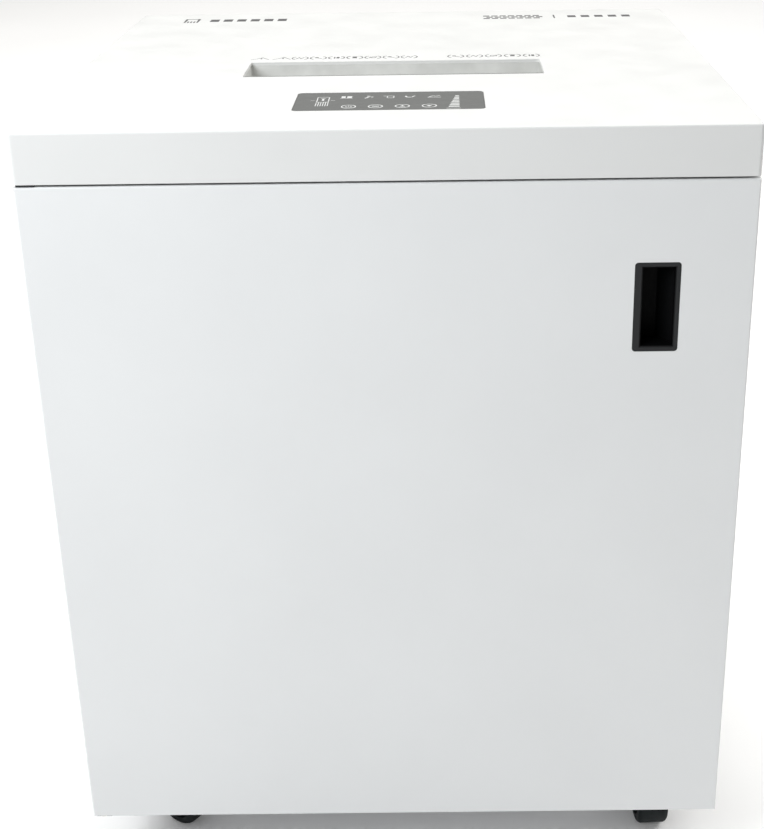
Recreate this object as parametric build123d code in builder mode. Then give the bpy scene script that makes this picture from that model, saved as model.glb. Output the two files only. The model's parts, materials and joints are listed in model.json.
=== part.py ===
from build123d import *

import os
from math import cos, pi, radians, sin

os.makedirs("parts", exist_ok=True)

# Cabinet paper shredder. Origin on the floor, under the middle of the cabinet.
# X runs to the right, Y to the back and Z up; the door is at the front, at -Y.

# ---------------------------------------------------------------- driving sizes
WIDTH = 510.0
DEPTH = 490.0
CASTER_HEIGHT = 65.0
BODY_HEIGHT = 572.0
LID_HEIGHT = 36.0
DOOR_THICKNESS = 18.0
DOOR_GAP = 1.8
SHEET = 1.5
FLANGE = 18.0
PANEL_CORNER = 1.2
SLIP = 0.5

HALF_WIDTH = WIDTH / 2
FRONT = -DEPTH / 2
BACK = DEPTH / 2
BODY_BOTTOM = CASTER_HEIGHT
LID_TOP = CASTER_HEIGHT + BODY_HEIGHT
LID_BOTTOM = LID_TOP - LID_HEIGHT
DOOR_TOP = LID_BOTTOM - DOOR_GAP
DOOR_BACK = FRONT + DOOR_THICKNESS
DOOR_CLEARANCE = 3.0
CARCASS_FRONT = DOOR_BACK + DOOR_CLEARANCE
CARCASS_BACK = BACK - SHEET
BASE_SHEET = 2.0
BASE_TOP = BODY_BOTTOM + SHEET + BASE_SHEET
BASE_FRONT = FRONT + 30.0
BASE_FLANGE = 12.0
DECK_SHEET = 2.0
DECK_TOP = 432.0
SHIELD_Y = FRONT + 40.0
SHIELD_SKIRT = 18.0

# feed mouth in the lid and the throat under it
MOUTH_Y = FRONT + 208.0
MOUTH_WIDTH = 238.0
MOUTH_DEPTH = 56.0
MOUTH_CORNER = 2.0
LID_WALL = 2.5
LID_CORNER = 3.0
LID_EDGE = 1.6
BOSS_RADIUS = 5.0
SCREW_RADIUS = 2.0
SCREW_FIT = 0.1
SCREW_HEAD_RADIUS = 3.6
SCREW_HEAD = 3.0
SCREW_BITE = 14.0
BOSS_POINTS = [(x, y) for x in (-243.0, 243.0) for y in (-190.0, 200.0)]

# control overlay recess
OVERLAY_Y = FRONT + 86.0
OVERLAY_WIDTH = 138.0
OVERLAY_DEPTH = 60.0
OVERLAY_THICKNESS = 0.8
OVERLAY_RECESS = 1.0
OVERLAY_CORNER = 4.0
OVERLAY_FIT = 0.2

# cutting unit
SHAFT_Z = 500.0
SHAFT_SPACING = 44.0
FRONT_SHAFT_Y = MOUTH_Y - SHAFT_SPACING / 2
REAR_SHAFT_Y = MOUTH_Y + SHAFT_SPACING / 2
LAND_RADIUS = 26.0
CORE_RADIUS = 17.4
LAND_WIDTH = 4.5
LAND_PITCH = 9.4
LAND_COUNT = 24
LANDS_LENGTH = LAND_COUNT * LAND_PITCH
PLATE_INNER_X = 119.0
PLATE_THICKNESS = 6.0
PLATE_OUTER_X = PLATE_INNER_X + PLATE_THICKNESS
JOURNAL_RADIUS = 8.0
RUNNING_FIT = 0.05
BEARING_RADIUS = 14.0

# gear train, modules in millimetres
SYNC_TEETH = 22
SYNC_MODULE = 2.0
DRIVE_TEETH = 40
SMALL_TEETH = 16
DRIVE_MODULE = 2.0
LARGE_TEETH = 56
PINION_TEETH = 12
MOTOR_MODULE = 1.5
GEAR_LAYER_X = PLATE_OUTER_X + 2.0
GEAR_WIDTH = 12.0
LARGE_LAYER_X = GEAR_LAYER_X + GEAR_WIDTH + 2.0
LARGE_GEAR_WIDTH = 8.0
INTERMEDIATE_ANGLE = 20.0
MOTOR_ANGLE = -30.0

# door
HINGE_X = -HALF_WIDTH + 8.0
HINGE_Y = FRONT + 6.0
HINGE_PIN_RADIUS = 2.5
HINGE_FIT = 0.08
HINGE_WIDTH = 12.4
HINGE_SLOT_FIT = 0.2
UPPER_TONGUE_THICKNESS = 1.3
UPPER_TONGUE = DOOR_TOP + 0.3
LOWER_TONGUE_THICKNESS = 1.4
LOWER_TONGUE = BODY_BOTTOM - 2.3
BUSH_RADIUS = 4.0
DOOR_SHEET = 1.2
DOOR_EDGE = 1.4
HANDLE_LEFT = 171.0
HANDLE_WIDTH = 32.5
HANDLE_BOTTOM = 473.0
HANDLE_HEIGHT = 67.0
HANDLE_CORNER = 2.5

# waste bin
BIN_HALF_WIDTH = 212.0
BIN_FRONT = -204.0
BIN_LENGTH = 404.0
BIN_HEIGHT = 325.0
BIN_WALL = 2.5
RAIL_THICKNESS = 2.0
BIN_BOTTOM = BASE_TOP + RAIL_THICKNESS + 0.3

# casters: swivel axis positions, and the way each wheel trails at rest
CASTER_X = 211.0
CASTER_FRONT_Y = FRONT + 88.0
CASTER_REAR_Y = BACK - 60.0
WHEEL_RADIUS = 25.0
TREAD_WIDTH = 26.0
CASTER_TRAIL = 18.0
CASTER_PLATE = 2.5
PLATE_LOW = BODY_BOTTOM + SHEET - CASTER_PLATE
BOLT_RADIUS = 2.5
BOLT_X = 18.0
BOLT_Y = 24.0
CASTERS = {
    "front_left": (-CASTER_X, CASTER_FRONT_Y, -35.0),
    "front_right": (CASTER_X, CASTER_FRONT_Y, -87.0),
    "rear_left": (-CASTER_X, CASTER_REAR_Y, 60.0),
    "rear_right": (CASTER_X, CASTER_REAR_Y, 130.0),
}
CASTER_BOLT_POINTS = [
    (x + dx, y + dy)
    for x, y, _ in CASTERS.values()
    for dx in (-BOLT_X, BOLT_X)
    for dy in (-BOLT_Y, BOLT_Y)
]


def save(builder, label):
    """Label a finished piece and write it to its own STEP file."""
    builder.part.label = label
    export_step(builder.part, f"parts/{label}.step")


# ---------------------------------------------------------------- cabinet
def build_side_panel(side, label):
    """Folded side panel: a skin with returns at the front, back, top and bottom."""
    skin_x = side * (HALF_WIDTH - SHEET / 2)
    flange_x = side * (HALF_WIDTH - FLANGE / 2)
    middle_y = (CARCASS_FRONT + CARCASS_BACK) / 2
    length = CARCASS_BACK - CARCASS_FRONT
    with BuildPart() as panel:
        with BuildSketch(Plane.XY.offset(BODY_BOTTOM)):
            with Locations((skin_x, middle_y)):
                Rectangle(SHEET, length)
            with Locations((flange_x, CARCASS_FRONT + SHEET / 2), (flange_x, CARCASS_BACK - SHEET / 2)):
                Rectangle(FLANGE, SHEET)
        extrude(amount=LID_BOTTOM - BODY_BOTTOM)
        outer = panel.edges().filter_by(Axis.Z).group_by(Axis.X)[0 if side < 0 else -1]
        fillet(outer, PANEL_CORNER)
        for level in (BODY_BOTTOM, LID_BOTTOM - SHEET):
            with BuildSketch(Plane.XY.offset(level)):
                with Locations((skin_x - side * FLANGE / 2, middle_y)):
                    Rectangle(FLANGE - SHEET, length - 2 * SHEET + SLIP)
            extrude(amount=SHEET)
        with BuildSketch(Plane.XY.offset(LID_BOTTOM - SHEET)):
            with Locations(*[(x, y) for x, y in BOSS_POINTS if x * side > 0]):
                Circle(SCREW_RADIUS + SCREW_FIT)
        extrude(amount=SHEET, mode=Mode.SUBTRACT)
        if side < 0:
            with BuildSketch(Plane.XY.offset(UPPER_TONGUE - HINGE_SLOT_FIT)):
                with Locations((HINGE_X, CARCASS_FRONT + SHEET)):
                    Rectangle(HINGE_WIDTH + 2 * HINGE_SLOT_FIT, 2 * (SHEET + SLIP))
            extrude(amount=LID_BOTTOM - UPPER_TONGUE + HINGE_SLOT_FIT, mode=Mode.SUBTRACT)
    save(panel, label)


build_side_panel(-1, "left_side_panel")
build_side_panel(1, "right_side_panel")

# Rear panel: covers the rear flanges, with cooling slots high up and the inlet's hole low down.
INLET_X = 180.0
INLET_Z = 120.0
INLET_WIDTH = 58.0
INLET_HEIGHT = 30.0
VENT_X = 95.0
VENT_Z = 520.0
VENT_PITCH = 12.0
VENTS = 12
VENT_LENGTH = 60.0
VENT_SLOT = 5.0
with BuildPart() as rear_panel:
    with BuildSketch(Plane.XZ.offset(-BACK)):
        with Locations((0, (BODY_BOTTOM + LID_BOTTOM) / 2)):
            Rectangle(WIDTH - 2 * SHEET, LID_BOTTOM - BODY_BOTTOM)
        with Locations((INLET_X, INLET_Z)):
            Rectangle(INLET_WIDTH, INLET_HEIGHT, mode=Mode.SUBTRACT)
        with Locations((-VENT_X, VENT_Z), (VENT_X, VENT_Z)):
            with GridLocations(VENT_PITCH, 0, VENTS, 1):
                SlotOverall(VENT_LENGTH, VENT_SLOT, rotation=90, mode=Mode.SUBTRACT)
    extrude(amount=SHEET)
save(rear_panel, "rear_panel")

# Base pan, with upturned flanges at the sides and back.
with BuildPart() as base_pan:
    base_back = CARCASS_BACK - SHEET
    base_middle = (BASE_FRONT + base_back) / 2
    with BuildSketch(Plane.XY.offset(BODY_BOTTOM + SHEET)):
        with Locations((0, base_middle)):
            Rectangle(WIDTH - 2 * SHEET, base_back - BASE_FRONT)
        with Locations(*CASTER_BOLT_POINTS):
            Circle(BOLT_RADIUS + SCREW_FIT, mode=Mode.SUBTRACT)
    extrude(amount=BASE_SHEET)
    with BuildSketch(Plane.XY.offset(BASE_TOP)):
        for side in (-1, 1):
            with Locations((side * (HALF_WIDTH - SHEET - BASE_SHEET / 2), base_middle)):
                Rectangle(BASE_SHEET, base_back - BASE_FRONT)
        with Locations((0, base_back - BASE_SHEET / 2)):
            Rectangle(WIDTH - 2 * SHEET, BASE_SHEET)
    extrude(amount=BASE_FLANGE)
save(base_pan, "base_pan")

# Mechanism deck: the shelf that carries the cutting unit, open below it for the paper.
CHUTE_WIDTH = 230.0
CHUTE_DEPTH = 92.0
with BuildPart() as mechanism_deck:
    deck_front = SHIELD_Y + SHEET
    deck_back = CARCASS_BACK - SHEET
    with BuildSketch(Plane.XY.offset(DECK_TOP - DECK_SHEET)):
        with Locations((0, (deck_front + deck_back) / 2)):
            Rectangle(WIDTH - 2 * SHEET, deck_back - deck_front)
        with Locations((0, MOUTH_Y)):
            Rectangle(CHUTE_WIDTH, CHUTE_DEPTH, mode=Mode.SUBTRACT)
    extrude(amount=DECK_SHEET)
save(mechanism_deck, "mechanism_deck")

# Front shield: closes the mechanism space behind the door's upper part.
with BuildPart() as front_shield:
    shield_low = DECK_TOP - SHIELD_SKIRT
    shield_high = LID_BOTTOM - SHEET
    with BuildSketch(Plane.XZ.offset(-SHIELD_Y)):
        with Locations((0, (shield_low + shield_high) / 2)):
            Rectangle(WIDTH - 2 * SHEET, shield_high - shield_low)
    extrude(amount=-SHEET)
save(front_shield, "front_shield")

# Top cover: a shell with the feed mouth, the overlay's recess and four screw bosses.
with BuildPart() as top_cover:
    with BuildSketch(Plane.XY.offset(LID_BOTTOM)):
        RectangleRounded(WIDTH, DEPTH, LID_CORNER)
    extrude(amount=LID_HEIGHT)
    fillet(top_cover.faces().sort_by(Axis.Z)[-1].edges(), LID_EDGE)
    with BuildSketch(Plane.XY.offset(LID_BOTTOM)):
        Rectangle(WIDTH - 2 * LID_WALL, DEPTH - 2 * LID_WALL)
    extrude(amount=LID_HEIGHT - LID_WALL, mode=Mode.SUBTRACT)
    with BuildSketch(Plane.XY.offset(LID_TOP - LID_WALL)):
        with Locations((0, MOUTH_Y)):
            RectangleRounded(MOUTH_WIDTH, MOUTH_DEPTH, MOUTH_CORNER)
    extrude(amount=LID_WALL, mode=Mode.SUBTRACT)
    with BuildSketch(Plane.XY.offset(LID_TOP - OVERLAY_RECESS)):
        with Locations((0, OVERLAY_Y)):
            RectangleRounded(OVERLAY_WIDTH, OVERLAY_DEPTH, OVERLAY_CORNER)
    extrude(amount=OVERLAY_RECESS, mode=Mode.SUBTRACT)
    with BuildSketch(Plane.XY.offset(LID_BOTTOM)):
        with Locations(*BOSS_POINTS):
            Circle(BOSS_RADIUS)
            Circle(SCREW_RADIUS + SCREW_FIT, mode=Mode.SUBTRACT)
    extrude(amount=LID_HEIGHT - LID_WALL)
save(top_cover, "top_cover")

# Feed throat: a funnel under the mouth that narrows to a neck just above the cutters.
FUNNEL_BOTTOM = 592.0
NECK_BOTTOM = 532.0
NECK_WIDTH = 226.0
NECK_DEPTH = 8.0
THROAT_WALL = 2.0
THROAT_LIP = 8.0
THROAT_TOP = LID_TOP - LID_WALL
with BuildPart() as feed_throat:
    for wall, mode in ((THROAT_WALL, Mode.ADD), (0, Mode.SUBTRACT)):
        with BuildSketch(Plane.XY.offset(THROAT_TOP)):
            with Locations((0, MOUTH_Y)):
                Rectangle(MOUTH_WIDTH + 2 * wall, MOUTH_DEPTH + 2 * wall)
        with BuildSketch(Plane.XY.offset(FUNNEL_BOTTOM)):
            with Locations((0, MOUTH_Y)):
                Rectangle(NECK_WIDTH + 2 * wall, NECK_DEPTH + 2 * wall)
        loft(mode=mode)
        with BuildSketch(Plane.XY.offset(NECK_BOTTOM)):
            with Locations((0, MOUTH_Y)):
                Rectangle(NECK_WIDTH + 2 * wall, NECK_DEPTH + 2 * wall)
        extrude(amount=FUNNEL_BOTTOM - NECK_BOTTOM, mode=mode)
    with BuildSketch(Plane.XY.offset(THROAT_TOP - THROAT_WALL)):
        with Locations((0, MOUTH_Y)):
            Rectangle(MOUTH_WIDTH + 2 * THROAT_LIP, MOUTH_DEPTH + 2 * THROAT_LIP)
            Rectangle(MOUTH_WIDTH + SLIP, MOUTH_DEPTH + SLIP, mode=Mode.SUBTRACT)
    extrude(amount=THROAT_WALL)
save(feed_throat, "feed_throat")

# Control overlay: a film panel in the lid's recess, over the control board.
with BuildPart() as control_overlay:
    with BuildSketch(Plane.XY.offset(LID_TOP - OVERLAY_RECESS)):
        with Locations((0, OVERLAY_Y)):
            RectangleRounded(
                OVERLAY_WIDTH - 2 * OVERLAY_FIT,
                OVERLAY_DEPTH - 2 * OVERLAY_FIT,
                OVERLAY_CORNER - OVERLAY_FIT,
            )
    extrude(amount=OVERLAY_THICKNESS)
save(control_overlay, "control_overlay")

# Control board: touch pads against the lid's underside and two chips below the board.
KEY_PITCH = 19.3
KEY_Y = FRONT + 69.0
KEYS = 4
PAD_RADIUS = 5.0
PAD_HEIGHT = 2.0
BOARD = 1.6
CONTROL_BOARD_WIDTH = 120.0
CONTROL_BOARD_DEPTH = 48.0
CHIP_X = 28.0
CHIP_WIDTH = 14.0
CHIP_DEPTH = 10.0
CHIP_HEIGHT = 4.4
with BuildPart() as control_board:
    board_top = LID_TOP - LID_WALL - PAD_HEIGHT
    with BuildSketch(Plane.XY.offset(board_top - BOARD)):
        with Locations((0, OVERLAY_Y)):
            Rectangle(CONTROL_BOARD_WIDTH, CONTROL_BOARD_DEPTH)
    extrude(amount=BOARD)
    with BuildSketch(Plane.XY.offset(board_top)):
        with Locations((0, KEY_Y)):
            with GridLocations(KEY_PITCH, 0, KEYS, 1):
                Circle(PAD_RADIUS)
    extrude(amount=PAD_HEIGHT)
    with BuildSketch(Plane.XY.offset(board_top - BOARD - CHIP_HEIGHT)):
        with Locations((-CHIP_X, OVERLAY_Y), (CHIP_X, OVERLAY_Y)):
            Rectangle(CHIP_WIDTH, CHIP_DEPTH)
    extrude(amount=CHIP_HEIGHT)
save(control_board, "control_board")

# Lid screws: up through the side panels' top returns into the lid's bosses.
with BuildPart() as lid_screws:
    with BuildSketch(Plane.XY.offset(LID_BOTTOM - SHEET - SCREW_HEAD)):
        with Locations(*BOSS_POINTS):
            Circle(SCREW_HEAD_RADIUS)
    extrude(amount=SCREW_HEAD)
    with BuildSketch(Plane.XY.offset(LID_BOTTOM - SHEET)):
        with Locations(*BOSS_POINTS):
            Circle(SCREW_RADIUS)
    extrude(amount=SCREW_BITE)
save(lid_screws, "lid_screws")


# ---------------------------------------------------------------- cutting unit
PLATE_TOP = 562.0
GEARBOX_TOP = 578.0
UNIT_FRONT = -100.0
LEFT_PLATE_BACK = 26.0
RIGHT_PLATE_BACK = 140.0
ROD_POINTS = [(y, z) for y in (-92.0, 18.0) for z in (446.0, 550.0)]
ROD_RADIUS = 5.0
NUT_RADIUS = 8.0
NUT_HEIGHT = 5.0
PLATE_CORNER = 4.0
AXLE_RADIUS = 5.0
DRIVE_DISTANCE = DRIVE_MODULE * (DRIVE_TEETH + SMALL_TEETH) / 2
MOTOR_DISTANCE = MOTOR_MODULE * (LARGE_TEETH + PINION_TEETH) / 2
INTERMEDIATE_Y = REAR_SHAFT_Y + DRIVE_DISTANCE * cos(radians(INTERMEDIATE_ANGLE))
INTERMEDIATE_Z = SHAFT_Z + DRIVE_DISTANCE * sin(radians(INTERMEDIATE_ANGLE))
MOTOR_Y = INTERMEDIATE_Y + MOTOR_DISTANCE * cos(radians(MOTOR_ANGLE))
MOTOR_Z = INTERMEDIATE_Z + MOTOR_DISTANCE * sin(radians(MOTOR_ANGLE))
MOTOR_BOSS_RADIUS = 12.0


def build_side_plate(left_x, back_y, top_z, label, gearbox=False):
    """Cutter side plate with bores for the bearings and tie rods."""
    with BuildPart() as plate:
        with BuildSketch(Plane.YZ.offset(left_x)):
            with Locations(((UNIT_FRONT + back_y) / 2, (DECK_TOP + top_z) / 2)):
                RectangleRounded(back_y - UNIT_FRONT, top_z - DECK_TOP, PLATE_CORNER)
            with Locations((FRONT_SHAFT_Y, SHAFT_Z), (REAR_SHAFT_Y, SHAFT_Z)):
                Circle(BEARING_RADIUS, mode=Mode.SUBTRACT)
            with Locations(*ROD_POINTS):
                Circle(ROD_RADIUS, mode=Mode.SUBTRACT)
            if gearbox:
                with Locations((INTERMEDIATE_Y, INTERMEDIATE_Z)):
                    Circle(AXLE_RADIUS, mode=Mode.SUBTRACT)
                with Locations((MOTOR_Y, MOTOR_Z)):
                    Circle(MOTOR_BOSS_RADIUS, mode=Mode.SUBTRACT)
        extrude(amount=PLATE_THICKNESS)
    save(plate, label)


build_side_plate(-PLATE_OUTER_X, LEFT_PLATE_BACK, PLATE_TOP, "cutter_side_plate_left")
build_side_plate(PLATE_INNER_X, RIGHT_PLATE_BACK, GEARBOX_TOP, "cutter_side_plate_right", gearbox=True)

with BuildPart() as tie_rods:
    with BuildSketch(Plane.YZ.offset(-PLATE_OUTER_X)):
        with Locations(*ROD_POINTS):
            Circle(ROD_RADIUS)
    extrude(amount=2 * PLATE_OUTER_X)
    for nut_x in (-PLATE_OUTER_X - NUT_HEIGHT, PLATE_OUTER_X):
        with BuildSketch(Plane.YZ.offset(nut_x)):
            with Locations(*ROD_POINTS):
                RegularPolygon(NUT_RADIUS, 6)
        extrude(amount=NUT_HEIGHT)
save(tie_rods, "tie_rods")

with BuildPart() as cutter_bearings:
    for left_x in (-PLATE_OUTER_X, PLATE_INNER_X):
        with BuildSketch(Plane.YZ.offset(left_x)):
            with Locations((FRONT_SHAFT_Y, SHAFT_Z), (REAR_SHAFT_Y, SHAFT_Z)):
                Circle(BEARING_RADIUS)
                Circle(JOURNAL_RADIUS + RUNNING_FIT, mode=Mode.SUBTRACT)
        extrude(amount=PLATE_THICKNESS)
save(cutter_bearings, "cutter_bearings")

FRONT_LAND_X = [-LANDS_LENGTH / 2 + LAND_PITCH * (i + 0.25) for i in range(LAND_COUNT)]
REAR_LAND_X = [x + LAND_PITCH / 2 for x in FRONT_LAND_X]
NOTCHES = 6
NOTCH_LENGTH = 6.0
NOTCH_DEPTH = 3.2
NOTCH_TURN = 45.0
HELIX_STEP = 11.0
CORE_OVERHANG = 3.0
LAYER_GAP = 2.0


def build_cutter(shaft_y, land_xs, left_end, right_end, hand, label):
    """Cutter shaft: a core with notched lands, stepped round in a helix, and a journal at each end."""
    with BuildPart() as cutter:
        with BuildSketch(Plane.YZ.offset(left_end)):
            with Locations((shaft_y, SHAFT_Z)):
                Circle(JOURNAL_RADIUS)
        extrude(amount=right_end - left_end)
        with BuildSketch(Plane.YZ.offset(-LANDS_LENGTH / 2 - CORE_OVERHANG)):
            with Locations((shaft_y, SHAFT_Z)):
                Circle(CORE_RADIUS)
        extrude(amount=LANDS_LENGTH + 2 * CORE_OVERHANG)
        for i, land_x in enumerate(land_xs):
            with BuildSketch(Plane.YZ.offset(land_x - LAND_WIDTH / 2)):
                with Locations((shaft_y, SHAFT_Z)):
                    Circle(LAND_RADIUS)
                    with PolarLocations(LAND_RADIUS, NOTCHES, start_angle=hand * i * HELIX_STEP):
                        Rectangle(NOTCH_LENGTH, NOTCH_DEPTH, rotation=NOTCH_TURN, mode=Mode.SUBTRACT)
            extrude(amount=LAND_WIDTH)
    save(cutter, label)


SHAFT_LEFT = -GEAR_LAYER_X - GEAR_WIDTH - LAYER_GAP
build_cutter(FRONT_SHAFT_Y, FRONT_LAND_X, SHAFT_LEFT, PLATE_OUTER_X, 1, "cutter_front")
SHAFT_RIGHT = GEAR_LAYER_X + GEAR_WIDTH + LAYER_GAP
build_cutter(REAR_SHAFT_Y, REAR_LAND_X, SHAFT_LEFT, SHAFT_RIGHT, -1, "cutter_rear")


COMB_GAP = 6.0
COMB_BAR = 6.0
COMB_HEIGHT = 60.0
FINGER_WIDTH = 3.2
FINGER_HEIGHT = 15.0
FINGER_FIT = 0.8


def build_comb(shaft_y, outward, groove_xs, label):
    """Stripper comb: a bar between the side plates with a finger in each groove."""
    bar_y = shaft_y + outward * (LAND_RADIUS + COMB_GAP + COMB_BAR / 2)
    finger_end = LAND_RADIUS + COMB_GAP + FINGER_FIT / 2
    finger_start = CORE_RADIUS - 4 * FINGER_FIT
    with BuildPart() as comb:
        with BuildSketch(Plane.YZ.offset(-PLATE_INNER_X)):
            with Locations((bar_y, SHAFT_Z)):
                Rectangle(COMB_BAR, COMB_HEIGHT)
        extrude(amount=2 * PLATE_INNER_X)
        for groove_x in groove_xs:
            with BuildSketch(Plane.YZ.offset(groove_x - FINGER_WIDTH / 2)):
                with Locations((shaft_y + outward * (finger_start + finger_end) / 2, SHAFT_Z)):
                    Rectangle(finger_end - finger_start, FINGER_HEIGHT)
                with Locations((shaft_y, SHAFT_Z)):
                    Circle(CORE_RADIUS + FINGER_FIT, mode=Mode.SUBTRACT)
            extrude(amount=FINGER_WIDTH)
    save(comb, label)


build_comb(FRONT_SHAFT_Y, -1, REAR_LAND_X[:-1], "stripper_comb_front")
build_comb(REAR_SHAFT_Y, 1, FRONT_LAND_X[1:], "stripper_comb_rear")

# ---------------------------------------------------------------- gears and motor
ADDENDUM = 0.85
DEDENDUM = 1.2
TIP_HALF_WIDTH = 0.09 * pi
PITCH_HALF_WIDTH = 0.20 * pi
ROOT_HALF_WIDTH = 0.30 * pi
ROOT_SINK = 0.3
HALF_TURN = 180.0


def gear_sketch(centre, teeth, module, start_angle, bore):
    """Draw a spur gear with straight-flanked teeth; the first tooth points along start_angle."""
    pitch_radius = teeth * module / 2
    root_radius = pitch_radius - DEDENDUM * module
    tip = (pitch_radius + ADDENDUM * module, TIP_HALF_WIDTH * module)
    flank = (pitch_radius, PITCH_HALF_WIDTH * module)
    root = (root_radius - ROOT_SINK, ROOT_HALF_WIDTH * module)
    corners = [root, flank, tip]
    outline = corners + [(radius, -half) for radius, half in reversed(corners)]
    with Locations(centre):
        Circle(root_radius)
        with PolarLocations(0, teeth, start_angle=start_angle):
            Polygon(*outline, align=None)
        if bore:
            Circle(bore, mode=Mode.SUBTRACT)


FRONT_AXIS = (FRONT_SHAFT_Y, SHAFT_Z)
REAR_AXIS = (REAR_SHAFT_Y, SHAFT_Z)
INTERMEDIATE_AXIS = (INTERMEDIATE_Y, INTERMEDIATE_Z)
MOTOR_AXIS = (MOTOR_Y, MOTOR_Z)

with BuildPart() as sync_gear_front:
    with BuildSketch(Plane.YZ.offset(-GEAR_LAYER_X - GEAR_WIDTH)):
        gear_sketch(FRONT_AXIS, SYNC_TEETH, SYNC_MODULE, 0, JOURNAL_RADIUS)
    extrude(amount=GEAR_WIDTH)
save(sync_gear_front, "sync_gear_front")

with BuildPart() as sync_gear_rear:
    sync_start = HALF_TURN + HALF_TURN / SYNC_TEETH
    with BuildSketch(Plane.YZ.offset(-GEAR_LAYER_X - GEAR_WIDTH)):
        gear_sketch(REAR_AXIS, SYNC_TEETH, SYNC_MODULE, sync_start, JOURNAL_RADIUS)
    extrude(amount=GEAR_WIDTH)
save(sync_gear_rear, "sync_gear_rear")

with BuildPart() as drive_gear:
    with BuildSketch(Plane.YZ.offset(GEAR_LAYER_X)):
        gear_sketch(REAR_AXIS, DRIVE_TEETH, DRIVE_MODULE, INTERMEDIATE_ANGLE, JOURNAL_RADIUS)
    extrude(amount=GEAR_WIDTH)
save(drive_gear, "drive_gear")

GEAR_HUB_RADIUS = 11.0
with BuildPart() as intermediate_gear:
    with BuildSketch(Plane.YZ.offset(GEAR_LAYER_X)):
        small_start = INTERMEDIATE_ANGLE + HALF_TURN + HALF_TURN / SMALL_TEETH
        gear_sketch(INTERMEDIATE_AXIS, SMALL_TEETH, DRIVE_MODULE, small_start, 0)
    extrude(amount=GEAR_WIDTH)
    with BuildSketch(Plane.YZ.offset(GEAR_LAYER_X + GEAR_WIDTH)):
        with Locations(INTERMEDIATE_AXIS):
            Circle(GEAR_HUB_RADIUS)
    extrude(amount=LAYER_GAP)
    with BuildSketch(Plane.YZ.offset(LARGE_LAYER_X)):
        gear_sketch(INTERMEDIATE_AXIS, LARGE_TEETH, MOTOR_MODULE, MOTOR_ANGLE, 0)
    extrude(amount=LARGE_GEAR_WIDTH)
    with BuildSketch(Plane.YZ.offset(GEAR_LAYER_X)):
        with Locations(INTERMEDIATE_AXIS):
            Circle(AXLE_RADIUS + RUNNING_FIT)
    extrude(amount=LARGE_LAYER_X + LARGE_GEAR_WIDTH - GEAR_LAYER_X, mode=Mode.SUBTRACT)
save(intermediate_gear, "intermediate_gear")

AXLE_END = LARGE_LAYER_X + LARGE_GEAR_WIDTH + 0.6
AXLE_HEAD_RADIUS = 8.0
AXLE_HEAD = 2.0
with BuildPart() as intermediate_axle:
    with BuildSketch(Plane.YZ.offset(PLATE_INNER_X)):
        with Locations(INTERMEDIATE_AXIS):
            Circle(AXLE_RADIUS)
    extrude(amount=AXLE_END - PLATE_INNER_X)
    with BuildSketch(Plane.YZ.offset(AXLE_END)):
        with Locations(INTERMEDIATE_AXIS):
            Circle(AXLE_HEAD_RADIUS)
    extrude(amount=AXLE_HEAD)
save(intermediate_axle, "intermediate_axle")

MOTOR_RADIUS = 50.0
MOTOR_LEFT = -70.0
MOTOR_SHAFT_RADIUS = 6.0
FIN_COUNT = 24
FIN_HEIGHT = 6.0
FIN_WIDTH = 2.4
MOTOR_END_WALL = 10.0
STATOR_RADIUS = 36.0
ROTOR_RADIUS = 33.0
ROTOR_LENGTH = 110.0
ROTOR_INSET = 30.0
SHAFT_OVERHANG = 24.0
with BuildPart() as motor_housing:
    with BuildSketch(Plane.YZ.offset(MOTOR_LEFT)):
        with Locations(MOTOR_AXIS):
            Circle(MOTOR_RADIUS - FIN_HEIGHT / 2)
            with PolarLocations(MOTOR_RADIUS - FIN_HEIGHT / 2, FIN_COUNT):
                Rectangle(FIN_HEIGHT, FIN_WIDTH)
    extrude(amount=PLATE_INNER_X - MOTOR_LEFT)
    with BuildSketch(Plane.YZ.offset(MOTOR_LEFT)):
        with Locations(MOTOR_AXIS):
            Circle(MOTOR_SHAFT_RADIUS + RUNNING_FIT)
    extrude(amount=PLATE_INNER_X - MOTOR_LEFT, mode=Mode.SUBTRACT)
    with BuildSketch(Plane.YZ.offset(MOTOR_LEFT + MOTOR_END_WALL)):
        with Locations(MOTOR_AXIS):
            Circle(STATOR_RADIUS)
    extrude(amount=PLATE_INNER_X - MOTOR_LEFT - 2 * MOTOR_END_WALL, mode=Mode.SUBTRACT)
save(motor_housing, "motor_housing")

with BuildPart() as motor_rotor:
    shaft_left = MOTOR_LEFT - SHAFT_OVERHANG
    with BuildSketch(Plane.YZ.offset(shaft_left)):
        with Locations(MOTOR_AXIS):
            Circle(MOTOR_SHAFT_RADIUS)
    extrude(amount=LARGE_LAYER_X + LARGE_GEAR_WIDTH - shaft_left)
    with BuildSketch(Plane.YZ.offset(MOTOR_LEFT + ROTOR_INSET)):
        with Locations(MOTOR_AXIS):
            Circle(ROTOR_RADIUS)
    extrude(amount=ROTOR_LENGTH)
    with BuildSketch(Plane.YZ.offset(LARGE_LAYER_X)):
        pinion_start = MOTOR_ANGLE + HALF_TURN + HALF_TURN / PINION_TEETH
        gear_sketch(MOTOR_AXIS, PINION_TEETH, MOTOR_MODULE, pinion_start, 0)
    extrude(amount=LARGE_GEAR_WIDTH)
save(motor_rotor, "motor_rotor")

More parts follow.
